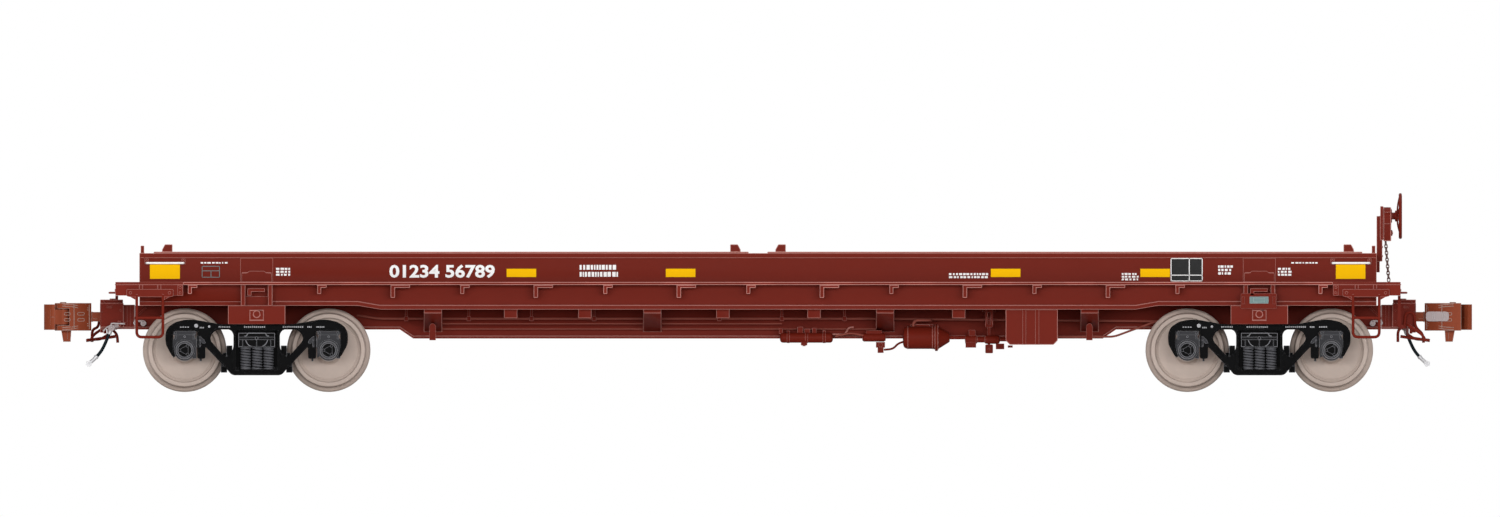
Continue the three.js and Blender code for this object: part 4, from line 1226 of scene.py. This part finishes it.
@dataclass
class CouplerEnd:
    """Draft box, coupler, knuckle, uncoupling gear and air hose at one end."""

    end: End
    pivot_x: float = 91.67

    def put(self, *shells: Shell) -> list[Shell]:
        """Shells made for the B end, turned to this end."""
        return [self.end.place(shell) for shell in shells]

    def draft_box(self) -> None:
        """The box with its lid ribs, slots, bolts, collar and braces."""
        tag = self.end.value
        dressed(f"draft_box_{tag}", BODY, 0.07)
        trim = Piece(f"draft_box_trim_{tag}", BODY)
        for side in (-1, 1):
            face = side * 3.3
            slot = rounded([(91.75, 11.9), (92.6, 11.9), (92.6, 12.25), (91.75, 12.25)], 0.15, 4, True)
            hole = rounded([(91.86, 12.0), (92.49, 12.0), (92.49, 12.15), (91.86, 12.15)], 0.07, 4, True)
            y0, y1 = sorted((face - side * 0.05, face + side * 0.09))
            trim.add(*self.put(plate(slot, [hole], "Y", y0, y1)))
            trim.add(*self.put(block((91.95, y0, 12.03), (92.4, y0 + (y1 - y0) * 0.6, 12.12))))
            trim.add(*self.put(block((93.1, y0, 11.3), (93.5, y1, 11.42)),
                               block((93.38, y0, 9.25), (93.52, y1, 12.55)),
                               block((90.18, y0, 12.5), (93.5, y1, 12.6))))
            for x in (88.75, 89.2, 89.65):
                ys = sorted((side * 2.5, side * 2.68))
                trim.add(*self.put(block((x - 0.06, ys[0], 9.25), (x + 0.06, ys[1], 12.38))))
            ys = sorted((side * 2.6, side * 2.76))
            for x in (90.75, 92.95):
                trim.add(*self.put(block((x - 0.05, ys[0], 12.6), (x + 0.05, ys[1], 13.12))))
            brace = np.array([(86.9, 11.9), (87.15, 12.05), (89.6, 9.7), (89.45, 9.5)])
            trim.add(*self.put(prism(brace, "Y", *sorted((side * 2.1, side * 2.4)))))
            for z in (10.0, 11.6):
                trim.add(*self.put(hexagon((90.6, face - side * 0.02, z), "Y", 0.17, side * 0.1)))
        trim.add(*self.put(hexagon((self.pivot_x, 0, 13.12), "Z", 0.5, 0.16)))
        trim.make("car", "body_paint", 0.03)
        valve = Piece(f"end_valve_{tag}", TAG_GREY)
        for s in (-1, 1):
            ys = sorted((s * 2.7, s * 3.25))
            valve.add(*self.put(rod(0.42, tuple(ys), (87.35, 0, 9.75), "Y", 24),
                                rod(0.26, tuple(ys), (88.55, 0, 9.8), "Y", 20),
                                block((87.3, ys[0], 9.95), (88.7, ys[1], 10.2))))
        valve.make("car", "bare_steel", 0.03)

    def coupler(self) -> None:
        """The cast head, shank and knuckle with ribs, slots and collar lines on both cheeks."""
        tag = self.end.value
        dressed(f"coupler_{tag}", RUST, 0.1)
        dressed(f"knuckle_{tag}", RUST, 0.14)
        cheeks = Piece(f"coupler_ribs_{tag}", RUST)
        for side in (-1, 1):
            def out(x: float) -> float:
                """How far the cheek stands from the middle at x."""
                left = ((94.75, 1.2), (95.6, 1.9), (97.6, 2.5), (99.0, 2.6))
                right = ((94.75, 1.2), (95.5, 1.9), (97.6, 2.3), (99.2, 2.7))
                table = np.array(left if side > 0 else right)
                return side * float(np.interp(x, table[:, 0], table[:, 1]))

            def rib(x0: float, z0: float, x1: float, z1: float, radius: float) -> Shell:
                """A rib along the cheek."""
                return tube(np.array([(x0, out(x0), z0), (x1, out(x1), z1)]), radius, 8, (0, 0.3, 1))

            for mirror in (-1, 1):
                middle = 10.68
                for lift in (0.0, 0.3):
                    low, high = middle + mirror * (0.95 + lift), middle + mirror * (1.42 + lift)
                    cheeks.add(*self.put(rib(95.2, low, 97.3, high, 0.07),
                                         rib(97.3, high, 98.9, high + mirror * 0.12, 0.07)))
                for x0, x1 in ((95.75, 96.7), (97.75, 98.6)):
                    loop = rounded([(x0, middle + mirror * 0.24), (x1, middle + mirror * 0.24),
                                    (x1, middle + mirror * 0.62), (x0, middle + mirror * 0.62)], 0.17, 4,
                                    True)
                    path = np.stack([loop[:, 0], [out(x) for x in loop[:, 0]], loop[:, 1]], 1)
                    cheeks.add(*self.put(tube(path, 0.06, 6, (0, 1, 0), True)))
            cheeks.add(*self.put(rib(97.2, 8.95, 97.21, 12.4, 0.07), rib(95.05, 8.95, 95.06, 12.4, 0.06)))
        cheeks.add(*self.put(block((93.9, -0.98, 10.35), (94.6, 0.98, 10.45)),
                             block((94.55, -1.05, 9.95), (94.72, 1.05, 11.42))))
        cheeks.add(*self.put(rod(0.45, (12.6, 12.78), (98.75, 1.75, 0), "Z", 24),
                             block((98.1, -0.56, 7.5), (98.2, 0.56, 8.8))))
        cheeks.make(f"coupler_{tag}", "coupler_rust", 0.03)
        lines = Piece(f"knuckle_ribs_{tag}", RUST)
        lines.add(*self.put(block((100.3, -0.5, 10.58), (101.47, 1.1, 10.68)),
                            block((99.99, 2.3, 10.58), (100.5, 2.42, 10.68))))
        lines.make(f"knuckle_{tag}", "coupler_rust", 0.02)
        if self.end is End.B:
            clip = rounded([(95.15, 10.05), (97.95, 10.05), (98.2, 10.3), (98.2, 11.15), (97.95, 11.42),
                            (95.15, 11.42), (94.93, 11.15), (94.93, 10.3)], 0.2, 3, True)
            leaf = Piece("coupler_clip_b", TAG_GREY)
            leaf.add(prism(clip, "Y", -2.6, -1.5))
            for x in (95.9, 96.15, 97.25, 97.5):
                leaf.add(block((x - 0.04, -2.68, 10.3), (x + 0.04, -2.5, 11.2)))
            leaf.make("coupler_b", "grey_tag", 0.06)

    def lever(self) -> None:
        """The uncoupling rod in its hanger, with the bent wire under the box."""
        tag = self.end.value
        way = [(94.9, -13.4, 7.2), (94.5, -13.4, 8.1), (92.3, -13.0, 9.6), (92.3, -4.6, 8.2),
               (93.4, -3.6, 7.5),
               (95.3, -0.6, 7.4)]
        wire = Piece(f"uncoupling_rod_{tag}", BODY)
        wire.add(*self.put(tube(rounded(way, 0.7, 6), 0.2, 12, (0, 0.2, 1))))
        wire.add(*self.put(block((90.94, -11.3, 9.2), (91.34, -10.5, 13.68)),
                           block((91.14, -11.15, 9.1), (92.5, -10.65, 9.5))))
        arch = rounded([(90.95, -3.7, 7.1), (90.95, -3.7, 8.9), (91.9, -3.7, 9.2), (92.0, -3.7, 11.3),
                        (93.3, -3.7, 11.3),
                        (93.4, -3.7, 9.2), (94.5, -3.7, 8.3), (94.6, -3.7, 7.0)], 0.75, 6)
        straight = [(91.3, -3.95, 7.9), (95.5, -3.95, 7.3)]
        if self.end is End.A:
            arch = arch * (-1, 1, 1) + (2 * 92.8, 0, 0)
        wire.add(*self.put(tube(arch, 0.2, 12, (0, 1, 0)), tube(np.array(straight), 0.22, 12, (0, 1, 0))))
        wire.add(*self.put(block((92.6, -3.95, 8.3), (93.0, -3.4, 9.4)),
                           block((91.1, -3.95, 8.85), (91.6, -3.0, 9.2))))
        wire.make("car", "body_paint", 0.04, [f"uncoupling_lever_{tag}"])

    def hose(self) -> None:
        """The air hose from its angle cock down to the glad hand."""
        tag, y = self.end.value, 4.4
        way = rounded([(92.1, y, 8.6), (92.75, y, 6.95), (93.35, y, 5.75), (94.25, y, 4.75)], 0.9, 8)
        Piece(f"hose_{tag}", RUBBER).add(*self.put(tube(way, 0.23, 16))).make("car", "hose_rubber", 0.0,
                                                                              [f"air_hose_{tag}"])
        grey = Piece(f"glad_hand_{tag}", GLAD_HAND)
        bend = rounded([(93.95, y, 5.05), (94.6, y, 4.45), (95.05, y, 4.05)], 0.3, 4)
        grey.add(*self.put(tube(bend, 0.27, 14),
                           ring((0.14, 0.42), (y - 0.24, y + 0.24), (95.1, 0, 4.02), "Y", 28),
                           rod(0.2, (y - 0.16, y + 0.16), (95.1, 0, 4.02), "Y", 20)))
        grey.add(*self.put(tube(np.array([(93.95, y, 5.1), (94.2, y, 4.84)]), 0.33, 14)))
        grey.add(*self.put(tube(np.array([(92.06, y, 8.72), (92.24, y, 8.2)]), 0.32, 14)))
        grey.make("car", "bare_steel", 0.03)
        cock = Piece(f"angle_cock_{tag}", TAG_GREY)
        cock.add(*self.put(tube(rounded([(92.2, y, 8.4), (91.95, y, 9.1), (90.8, y, 9.5)], 0.4, 6), 0.31,
                                14)))
        cock.add(*self.put(ring((0.1, 0.46), (y - 0.4, y + 0.4), (91.9, 0, 9.12), "Y", 24),
                           tube(rounded([(91.9, y + 0.4, 9.1), (91.95, y + 0.5, 9.75),
                                         (90.0, y + 0.5, 9.7)], 0.2, 5), 0.11, 8)))
        cock.add(*self.put(tube(rounded([(91.1, y - 0.5, 9.4), (92.4, y - 0.5, 9.3), (93.1, y - 0.5, 8.6)],
                                        0.25, 5), 0.13, 8)))
        cock.make("car", "bare_steel", 0.03)
        bracket = Piece(f"hose_bracket_{tag}", BODY)
        bracket.add(*self.put(block((90.6, 3.25, 9.3), (91.0, y + 0.3, 10.1)),
                              block((89.9, 3.2, 9.55), (90.7, 4.0, 9.85))))
        bracket.make("car", "body_paint", 0.05)

    def build(self) -> None:
        """Makes this end."""
        self.draft_box()
        self.coupler()
        self.lever()
        self.hose()
        LOG.info("coupler end %s done", self.end.value)


@dataclass
class Truck:
    """One truck's cast frames, springs, bolster, adapters, brake shoes and screw; the wheels are apart."""

    end: End
    inner: float = 12.3  # |y| of the frames' inner face
    outer: float = 14.2  # |y| of the frames' outer face
    axle_z: float = 5.94
    wheel_base: float = 20.4717

    def __post_init__(self) -> None:
        """Finds the truck's middle and its body."""
        self.x = pivot(f"truck_{self.end.value}_swivel")[0]
        self.body = f"truck_{self.end.value}"

    @staticmethod
    def both(points: Sequence[tuple[float, float]]) -> list[tuple[float, float]]:
        """An outline for +X completed with its mirror image."""
        return list(points) + [(-x, z) for x, z in reversed(points)]

    def outline(self) -> Points:
        """The frame's edge seen from the side, anticlockwise from the top's middle."""
        half = [(5.2, 9.63), (8.5, 10.22), (9.4, 10.3), (10.3, 10.25), (11.5, 9.95), (12.5, 9.3),
                (12.93, 8.5),
                (12.99, 7.6), (12.9, 6.7), (11.98, 5.0), (11.6, 5.0), (11.9, 6.4), (11.85, 8.67),
                (8.45, 8.67),
                (8.45, 4.73), (7.3, 4.73), (7.3, 6.45), (4.12, 3.1), (3.75, 2.6), (3.3, 2.37)]
        return rounded(self.both(half), 0.3, 4, True)

    def holes(self) -> list[Points]:
        """The bolster opening and the two windows."""
        window = [(6.65, 7.39), (6.4, 8.3), (5.6, 8.91), (3.8, 8.91), (3.28, 8.3), (3.31, 6.2), (3.9, 5.1),
                  (4.6, 5.05)]
        opening = [(-2.98, 3.13), (2.98, 3.13), (2.98, 8.76), (-2.98, 8.76)]
        rim = rounded(window, 0.5, 5, True)
        return [rounded(opening, 0.12, 3, True), rim, rim * (-1, 1)]

    def rim(self, loop: Points, out: float, width: float = 0.2) -> Shell:
        """A raised bead along a loop on the frame's outer face."""
        profile = np.array([(-width / 2, -0.3), (-width / 2, 0.0), (-width / 4, 0.08), (width / 4, 0.08),
                            (width / 2, 0.0), (width / 2, -0.3)])
        path = np.stack([loop[:, 0], np.full(len(loop), out), loop[:, 1]], 1)
        turn = np.sum(path[:, 0] * np.roll(path[:, 2], -1) - np.roll(path[:, 0], -1) * path[:, 2])
        return swept(path if turn < 0 else path[::-1], profile[::-1], (0, -1, 0), True)

    def casting(self) -> list[Shell]:
        """The side frame at +Y with its beads, ribs, pads and pockets."""
        out = self.outer
        edge, holes = self.outline(), self.holes()
        parts = [plate(edge, holes, "Y", self.inner + 0.3, out - 0.16)]
        inset = self.inward(edge, 0.12)
        parts.append(self.rim(inset, out - 0.12))
        parts += [self.rim(self.inward(hole, -0.14), out - 0.12) for hole in holes[1:]]
        for s in (-1, 1):
            parts.append(block((s * 3.0, self.inner, 3.2), (s * 3.3, out + 0.02, 8.76)))
            pocket = rounded([(s * 2.98, 3.2), (s * 3.42, 3.2), (s * 3.42, 4.35), (s * 2.98, 4.35)], 0.1, 3,
                             True)
            parts.append(prism(pocket, "Y", out - 0.3, out + 0.14))
            parts.append(block((s * 2.45, out - 1.0, 3.05), (s * 2.95, out + 0.1, 3.5)))
            for z in (6.4, 7.1):
                parts.append(block((s * 2.98, out - 0.3, z), (s * 3.3, out + 0.1, z + 0.36)))
        parts.append(block((-3.0, self.inner, 3.1), (3.0, self.inner + 0.3, 6.3)))
        for s in (-1, 1):
            parts.append(block((s * 2.58, self.inner, 6.2), (s * 3.0, self.inner + 0.9, 8.8)))
        parts.append(block((-2.7, self.inner, 8.36), (2.7, self.inner + 0.9, 8.8)))
        for x in (-1.75, -1.15, 0.0, 1.15, 1.75):
            parts.append(block((x - 0.07, out - 0.3, 2.42), (x + 0.07, out + 0.06, 3.1)))
        parts.append(block((-3.3, out - 0.3, 3.02), (3.3, out + 0.06, 3.16)))
        parts.append(block((-3.1, out - 0.3, 8.74), (3.1, out + 0.03, 8.9)))
        return parts

    @staticmethod
    def inward(loop: Points, distance: float) -> Points:
        """A loop moved sideways: point(t) = loop(t) + distance * normal(t), inwards when positive."""
        ahead = np.roll(loop, -1, 0) - np.roll(loop, 1, 0)
        ahead /= np.linalg.norm(ahead, axis=1, keepdims=True) + 1e-9
        area = np.sum(loop[:, 0] * np.roll(loop[:, 1], -1) - np.roll(loop[:, 0], -1) * loop[:, 1])
        normal = np.stack([-ahead[:, 1], ahead[:, 0]], 1) * np.sign(area)
        return loop + distance * normal

    def marks(self) -> list[Shell]:
        """Round bosses and raised bars where a casting carries its numbers."""
        out = self.outer
        parts = [rod(0.28, (out - 0.3, out + 0.04), (-8.6, 0, 9.42), "Y", 20),
                 rod(0.17, (out - 0.3, out + 0.02), (-6.75, 0, 9.3), "Y", 16)]
        rows = ((-10.9, -9.5, 9.22, 4, 0.14), (-8.1, -7.4, 9.15, 3, 0.2), (-5.4, -3.7, 9.24, 7, 0.22),
                (-1.8, 1.3, 9.24, 11, 0.22), (3.7, 6.7, 9.24, 11, 0.22), (7.2, 7.9, 9.24, 3, 0.22),
                (8.5, 9.7, 9.24, 5, 0.2))
        for x0, x1, z, count, tall in rows:
            pitch = (x1 - x0) / count
            for k in range(count):
                x = x0 + k * pitch
                parts.append(block((x, out - 0.3, z - tall / 2),
                                   (x + pitch * 0.62, out - 0.08, z + tall / 2)))
        along = np.linspace(0.1, 0.82, 12)
        for share in along:
            x, z = -6.9 + share * 2.95, 6.1 - share * 3.1
            parts.append(moved(prism(np.array([(-0.1, 0.0), (0.08, -0.09), (0.17, 0.09), (-0.01, 0.18)]), "Y",
                                     out - 0.3, out - 0.06), (x, 0, z)))
        return parts

    def bearing(self, x: float) -> list[Shell]:
        """The adapter, its ring and the jaw parts round one journal, at +Y."""
        out, z, s = self.outer, self.axle_z, np.sign(x)
        seat = rounded([(x - 1.62, 8.1), (x + 1.62, 8.1), (x + 1.62, 8.66), (x - 1.62, 8.66)], 0.08, 3, True)
        block_edge = [(x - 1.66, 4.75), (x - 1.1, 4.75), (x - 1.1, 5.2), (x + 1.1, 5.2), (x + 1.1, 4.75),
                      (x + 1.66, 4.75), (x + 1.66, 7.4), (x + 1.3, 8.12), (x - 1.3, 8.12), (x - 1.66, 7.4)]
        hole = arc((x, z), 1.27, 0, 345, 24)
        parts = [prism(seat, "Y", self.inner + 0.3, out + 0.02),
                 plate(rounded(block_edge, 0.1, 3, True), [hole], "Y", self.inner + 0.3, out - 0.12),
                 ring((1.3, 1.5), (self.inner + 0.3, out + 0.12), (x, 0, z), "Y", 48)]
        for dx in (-1.3, 1.3):
            parts.append(hexagon((x + dx, out + 0.0, 8.4), "Y", 0.2, 0.1))
            parts.append(block((x + dx - 0.12, out - 0.4, 7.5), (x + dx + 0.12, out + 0.0, 8.1)))
        parts.append(rod(0.16, (out - 0.4, out + 0.05), (x, 0, 7.86), "Y", 16))
        inside = -s
        hook = [(x + inside * 1.68, 8.0), (x + inside * 2.2, 7.9), (x + inside * 2.75, 7.45),
                (x + inside * 3.0, 6.95),
                (x + inside * 2.6, 6.85), (x + inside * 2.3, 7.2), (x + inside * 2.3, 6.4),
                (x + inside * 1.68, 6.3)]
        parts.append(prism(rounded(hook, 0.12, 3, True), "Y", out - 0.6, out + 0.02))
        parts.append(block((x + inside * 1.7, out - 0.5, 6.5), (x + inside * 2.3, out + 0.1, 6.66)))
        parts.append(block((x + inside * 1.7, out - 0.5, 7.3), (x + inside * 2.3, out + 0.1, 7.44)))
        parts.append(rod(0.14, (4.35, 4.9), (x + inside * 2.3, out - 0.4, 0), "Z", 12))
        return parts

    def springs(self) -> list[Shell]:
        """Three coil springs, each with an inner coil and seats: point(t) = (r cos t, r sin t, rise * t)."""
        parts = []
        for x, start in ((-1.56, 0.4), (0.07, 2.0), (1.69, 4.1)):
            for radius, wire, turns, way in ((0.62, 0.155, 7.0, 1), (0.3, 0.08, 8.0, -1)):
                t = np.linspace(0, 1, int(22 * turns))
                angle = start + way * t * turns * 2 * math.pi
                path = np.stack([x + radius * np.cos(angle), 13.32 + radius * np.sin(angle),
                                 3.38 + t * 2.78], 1)
                parts.append(tube(path, wire, 8, (0, 0, 1)))
            parts.append(turned([(0, 3.1), (0.5, 3.1), (0.78, 3.25), (0.78, 3.4), (0, 3.4)], (x, 13.32, 0),
                                "Z", 28))
            parts.append(rod(0.78, (6.1, 6.4), (x, 13.32, 0), "Z", 28))
        return parts

    def bolster_end(self) -> list[Shell]:
        """The details on the bolster's end at +Y."""
        face = 14.6
        parts = [block((-2.55, face - 0.2, 7.72), (2.55, face + 0.02, 7.86)),
                 block((-2.6, face - 0.2, 7.4), (2.6, face + 0.06, 7.52)),
                 block((-2.06, face - 0.2, 6.4), (-1.94, face + 0.08, 7.4)),
                 block((1.94, face - 0.2, 6.4), (2.06, face + 0.08, 7.4)),
                 block((-2.06, face - 0.2, 6.36), (2.06, face + 0.08, 6.5)),
                 block((-0.06, face - 0.2, 6.5), (0.06, face + 0.06, 7.4)),
                 rod(0.24, (face - 0.2, face + 0.1), (0, 0, 7.66), "Y", 20)]
        for s in (-1, 1):
            bow = arc((s * 0.05, 7.6), 1.35, -90, 0, 14) if s > 0 else arc((-0.05, 7.6), 1.35, 180, 270, 14)
            path = np.stack([bow[:, 0] + s * 0.2, np.full(len(bow), face), bow[:, 1] + 0.1], 1)
            keep = path[(path[:, 2] < 7.42) & (path[:, 2] > 6.36)]
            parts.append(tube(keep, 0.075, 8, (0, 1, 0)))
        trapezoid = rounded([(-1.75, 7.95, 0), (-1.45, 7.95, 0), (-1.25, 8.36, 0), (1.25, 8.36, 0),
                             (1.45, 7.95, 0),
                             (1.75, 7.95, 0)], 0.12, 4)
        line = np.stack([trapezoid[:, 0], np.full(len(trapezoid), face), trapezoid[:, 1]], 1)
        parts.append(tube(line, 0.08, 8, (0, 1, 0)))
        return parts

    def brakes(self) -> list[Shell]:
        """The brake shoes and heads inside the wheels, and the beams between them."""
        parts = []
        for s in (-1, 1):
            axle = s * self.wheel_base / 2
            shoe = np.concatenate([arc((axle, self.axle_z), 5.45, 180 if s > 0 else -20,
                                       200 if s > 0 else 0, 9),
                                   arc((axle, self.axle_z), 5.95, 200 if s > 0 else 0,
                                       180 if s > 0 else -20, 9)])
            shoe[:, 1] -= 0.35
            for side in (-1, 1):
                y0, y1 = sorted((side * 8.3, side * 9.8))
                parts.append(prism(shoe, "Y", y0, y1))
                x0 = axle - s * 5.9
                parts.append(block((x0 - s * 0.05, y0 + 0.2, 3.9), (x0 - s * 0.85, y1 - 0.2, 5.5)))
            beam = axle - s * 6.5
            parts.append(block((beam - 0.3, -11.2, 4.1), (beam + 0.3, 11.2, 4.75)))
            parts.append(tube(np.array([(beam, -9.5, 4.4), (beam - s * 1.6, 0.0, 4.4), (beam, 9.5, 4.4)]),
                              0.22, 10, (0, 0, 1)))
            for side in (-1, 1):
                parts.append(block((s * 4.2, side * 12.0, 2.75), (s * 5.1, side * 12.7, 3.7)))
                parts.append(block((s * 3.45, side * 11.9, 5.1), (s * 4.3, side * 12.6, 6.6)))
        return parts

    def build(self) -> None:
        """Makes the truck."""
        tag = self.end.value
        for side in Side:
            def put(shells: list[Shell]) -> list[Shell]:
                """Shells moved to this truck and side."""
                placed = [side.place(shell) for shell in shells]
                if side is Side.RIGHT:
                    return [moved(shell, (self.x, 0, 0)) for shell in placed]
                return [moved(mirrored(shell, "X"), (self.x, 0, 0)) for shell in placed]

            frame_piece = Piece(f"side_frame_casting_{tag}_{side.value}", BLACK)
            frame_piece.add(*put(self.casting()))
            frame_piece.make(self.body, "truck_black", 0.06, [f"side_frame_{tag}_{side.value}"])
            Piece(f"side_frame_marks_{tag}_{side.value}", RAISED).add(*put(self.marks())).make(
                self.body, "truck_black", 0.035)
            for k, x in enumerate((-self.wheel_base / 2, self.wheel_base / 2)):
                Piece(f"adapter_{tag}_{side.value}_{k + 1}", CAST_GREY).add(*put(self.bearing(x))).make(
                    self.body, "truck_black", 0.05)
            Piece(f"springs_{tag}_{side.value}", SPRING).add(*put(self.springs())).make(
                self.body, "truck_black", 0.0)
            Piece(f"bolster_end_{tag}_{side.value}", BLACK).add(*put(self.bolster_end())).make(
                self.body, "truck_black", 0.04)
        dressed(f"truck_bolster_{tag}", BLACK, 0.08)
        dressed(f"truck_screw_{tag}", STEEL, 0.06)
        Piece(f"brake_beams_{tag}", BLACK).add(*[moved(s, (self.x, 0, 0)) for s in self.brakes()]).make(
            self.body, "truck_black", 0.05)
        LOG.info("truck %s done", tag)


@dataclass
class Wheelset:
    """Two wheels, their axle and the bolted bearing caps that turn with it."""

    end: End
    number: int
    axle_z: float = 5.94

    def wheel_profile(self) -> Points:
        """The wheel's section at +Y as (radius, y), with fine rings on its outer face."""
        corners = [(0.82, 7.25), (1.75, 7.25), (2.15, 8.05), (4.25, 8.3), (4.55, 7.27), (5.75, 7.25),
                   (5.94, 7.42),
                   (5.94, 7.6), (5.72, 7.92), (5.34, 8.05), (5.24, 8.3), (5.2, 9.85), (5.1, 10.0),
                   (4.62, 10.0),
                   (4.58, 9.95), (4.54, 9.27), (4.22, 9.17), (4.2, 9.12), (4.1, 9.12), (4.08, 9.16),
                   (2.1, 9.0),
                   (1.85, 9.2), (1.7, 9.85), (1.62, 9.9), (0.82, 9.9), (0.82, 7.25)]
        smooth = rounded(corners[:-1], 0.07, 3, True)
        return np.concatenate([smooth, smooth[:1]])

    def build(self) -> None:
        """Makes the wheelset on its own body."""
        tag = f"{self.end.value}{self.number}"
        body = f"wheelset_{tag}"
        centre = pivot(f"wheelset_{tag}_spin") * (1, 0, 1)
        wheel = turned(self.wheel_profile()[::-1], (0, 0, 0), "Y", 128)
        for side in Side:
            name = f"wheel_disc_{tag}_{side.value}"
            Piece(name, WHEEL).add(moved(side.place(wheel), centre)).make(
                body, "wheel_steel", 0.0, [f"wheel_{tag}_{side.value}"], 30.0)
        half = [(0.0, 14.2), (0.7, 14.18), (0.7, 10.25), (0.76, 10.2), (0.8, 7.4), (0.68, 6.6), (0.62, 4.0),
                (0.6, 0.0)]
        line = [(r, -y) for r, y in half] + [(r, y) for r, y in reversed(half)][1:]
        Piece(f"axle_bar_{tag}", STEEL).add(moved(turned(line, (0, 0, 0), "Y", 40), centre)).make(
            body, "bare_steel", 0.0, [f"axle_{tag}"])
        for side in Side:
            face = 14.78
            cap = [turned([(0.0, 14.35), (1.2, 14.35), (1.26, 14.42), (1.26, face - 0.06), (1.2, face),
                           (1.02, face),
                           (0.98, face - 0.14), (0.0, face - 0.14)], (0, 0, 0), "Y", 48)]
            angles = np.radians([180, 57, -57])
            corners = np.stack([0.95 * np.cos(angles), 0.95 * np.sin(angles)], 1)
            cap.append(prism(rounded(corners, 0.45, 5, True), "Y", face - 0.2, face + 0.0))
            for a in angles:
                cap.append(hexagon((0.72 * math.cos(a), face - 0.02, 0.72 * math.sin(a)), "Y", 0.22, 0.09))
            shells = [side.place(mirrored(s, "X") if side is Side.LEFT else s) for s in cap]
            Piece(f"bearing_cap_{tag}_{side.value}", BLACK).add(*[moved(s, centre) for s in shells]).make(
                body, "truck_black", 0.04)
        LOG.info("wheelset %s done", tag)


@dataclass
class Studio:
    """Pale floor, soft lights, white surroundings and the camera level with the car's right side."""

    width: float = 213.2  # width of the view
    centre: tuple[float, float, float] = (-1.137, 0.0, 18.97)
    distance: float = 900.0

    def floor(self) -> None:
        """A wide pale floor at the rails' height."""
        half = 2.5
        mesh = bpy.data.meshes.new("floor")
        mesh.from_pydata([(-half, -half, 0), (half, -half, 0), (half, half, 0), (-half, half, 0)], [],
                         [(0, 1, 2, 3)])
        floor = bpy.data.objects.new("floor", mesh)
        bpy.context.scene.collection.objects.link(floor)
        shader = Shader("floor")
        tone = shader.noise(2.0, 2.0)
        shader.set(**{"Base Color": shader.mix(tone, (0.86, 0.86, 0.86, 1.0), (0.9, 0.9, 0.9, 1.0)),
                      "Roughness": 0.8})
        mesh.materials.append(shader.material)

    def light(self, name: str, place: Sequence[float], size: tuple[float, float], watts: float) -> None:
        """An oblong soft light, aimed at the car.

        Args:
            name: the light's name.
            place: its place in metres.
            size: its width and height in metres.
            watts: its power.
        """
        lamp = bpy.data.lights.new(name, "AREA")
        lamp.shape = "RECTANGLE"
        lamp.size, lamp.size_y = size
        lamp.energy = watts
        holder = bpy.data.objects.new(name, lamp)
        holder.location = place
        holder.rotation_euler = (Vector((0, 0, 0.015)) - Vector(place)).to_track_quat("-Z", "Y").to_euler()
        bpy.context.scene.collection.objects.link(holder)

    def world(self) -> None:
        """White to the camera, softer white as light."""
        world = bpy.data.worlds.new("white_room")
        world.use_nodes = True
        tree = world.node_tree
        tree.nodes.clear()
        output = tree.nodes.new("ShaderNodeOutputWorld")
        chosen = tree.nodes.new("ShaderNodeMixShader")
        path = tree.nodes.new("ShaderNodeLightPath")
        soft, seen = tree.nodes.new("ShaderNodeBackground"), tree.nodes.new("ShaderNodeBackground")
        soft.inputs["Strength"].default_value = 0.3
        soft.inputs["Color"].default_value = (1, 1, 1, 1)
        seen.inputs["Color"].default_value = (1, 1, 1, 1)
        tree.links.new(path.outputs["Is Camera Ray"], chosen.inputs[0])
        tree.links.new(soft.outputs[0], chosen.inputs[1])
        tree.links.new(seen.outputs[0], chosen.inputs[2])
        tree.links.new(chosen.outputs[0], output.inputs["Surface"])
        bpy.context.scene.world = world

    def camera(self) -> None:
        """A camera without perspective, level with the car and square to its right side."""
        lens = bpy.data.cameras.new("camera")
        lens.type = "ORTHO"
        lens.ortho_scale = self.width * MM
        lens.clip_end = 20
        camera = bpy.data.objects.new("camera", lens)
        x, y, z = self.centre
        camera.location = (x * MM, (y - self.distance) * MM, z * MM)
        camera.rotation_euler = (math.pi / 2, 0, 0)
        bpy.context.scene.collection.objects.link(camera)
        bpy.context.scene.camera = camera

    def build(self) -> None:
        """Sets up the whole studio."""
        self.floor()
        self.light("front", (0.0, -1.3, 0.15), (1.4, 0.26), 12.5)
        self.light("key", (-0.5, -0.8, 0.8), (0.6, 0.6), 1.4)
        self.light("top", (0.1, 0.2, 1.1), (0.8, 0.8), 7.0)
        self.light("back", (0.3, 1.2, 0.3), (1.2, 0.5), 6.0)
        self.world()
        self.camera()
        bpy.context.scene.view_settings.view_transform = "Standard"
        LOG.info("studio done")


def main() -> None:
    """Builds the assemblies in order, then the studio."""
    logging.basicConfig(level=logging.INFO, format="%(name)s: %(message)s")
    Superstructure().build()
    Markings().build()
    SafetyGear().build()
    Underframe().build()
    HandBrake().build()
    for end in End:
        CouplerEnd(end).build()
        Truck(end).build()
        for number in (1, 2):
            Wheelset(end, number).build()
    Studio().build()


if __name__ == "__main__":
    main()
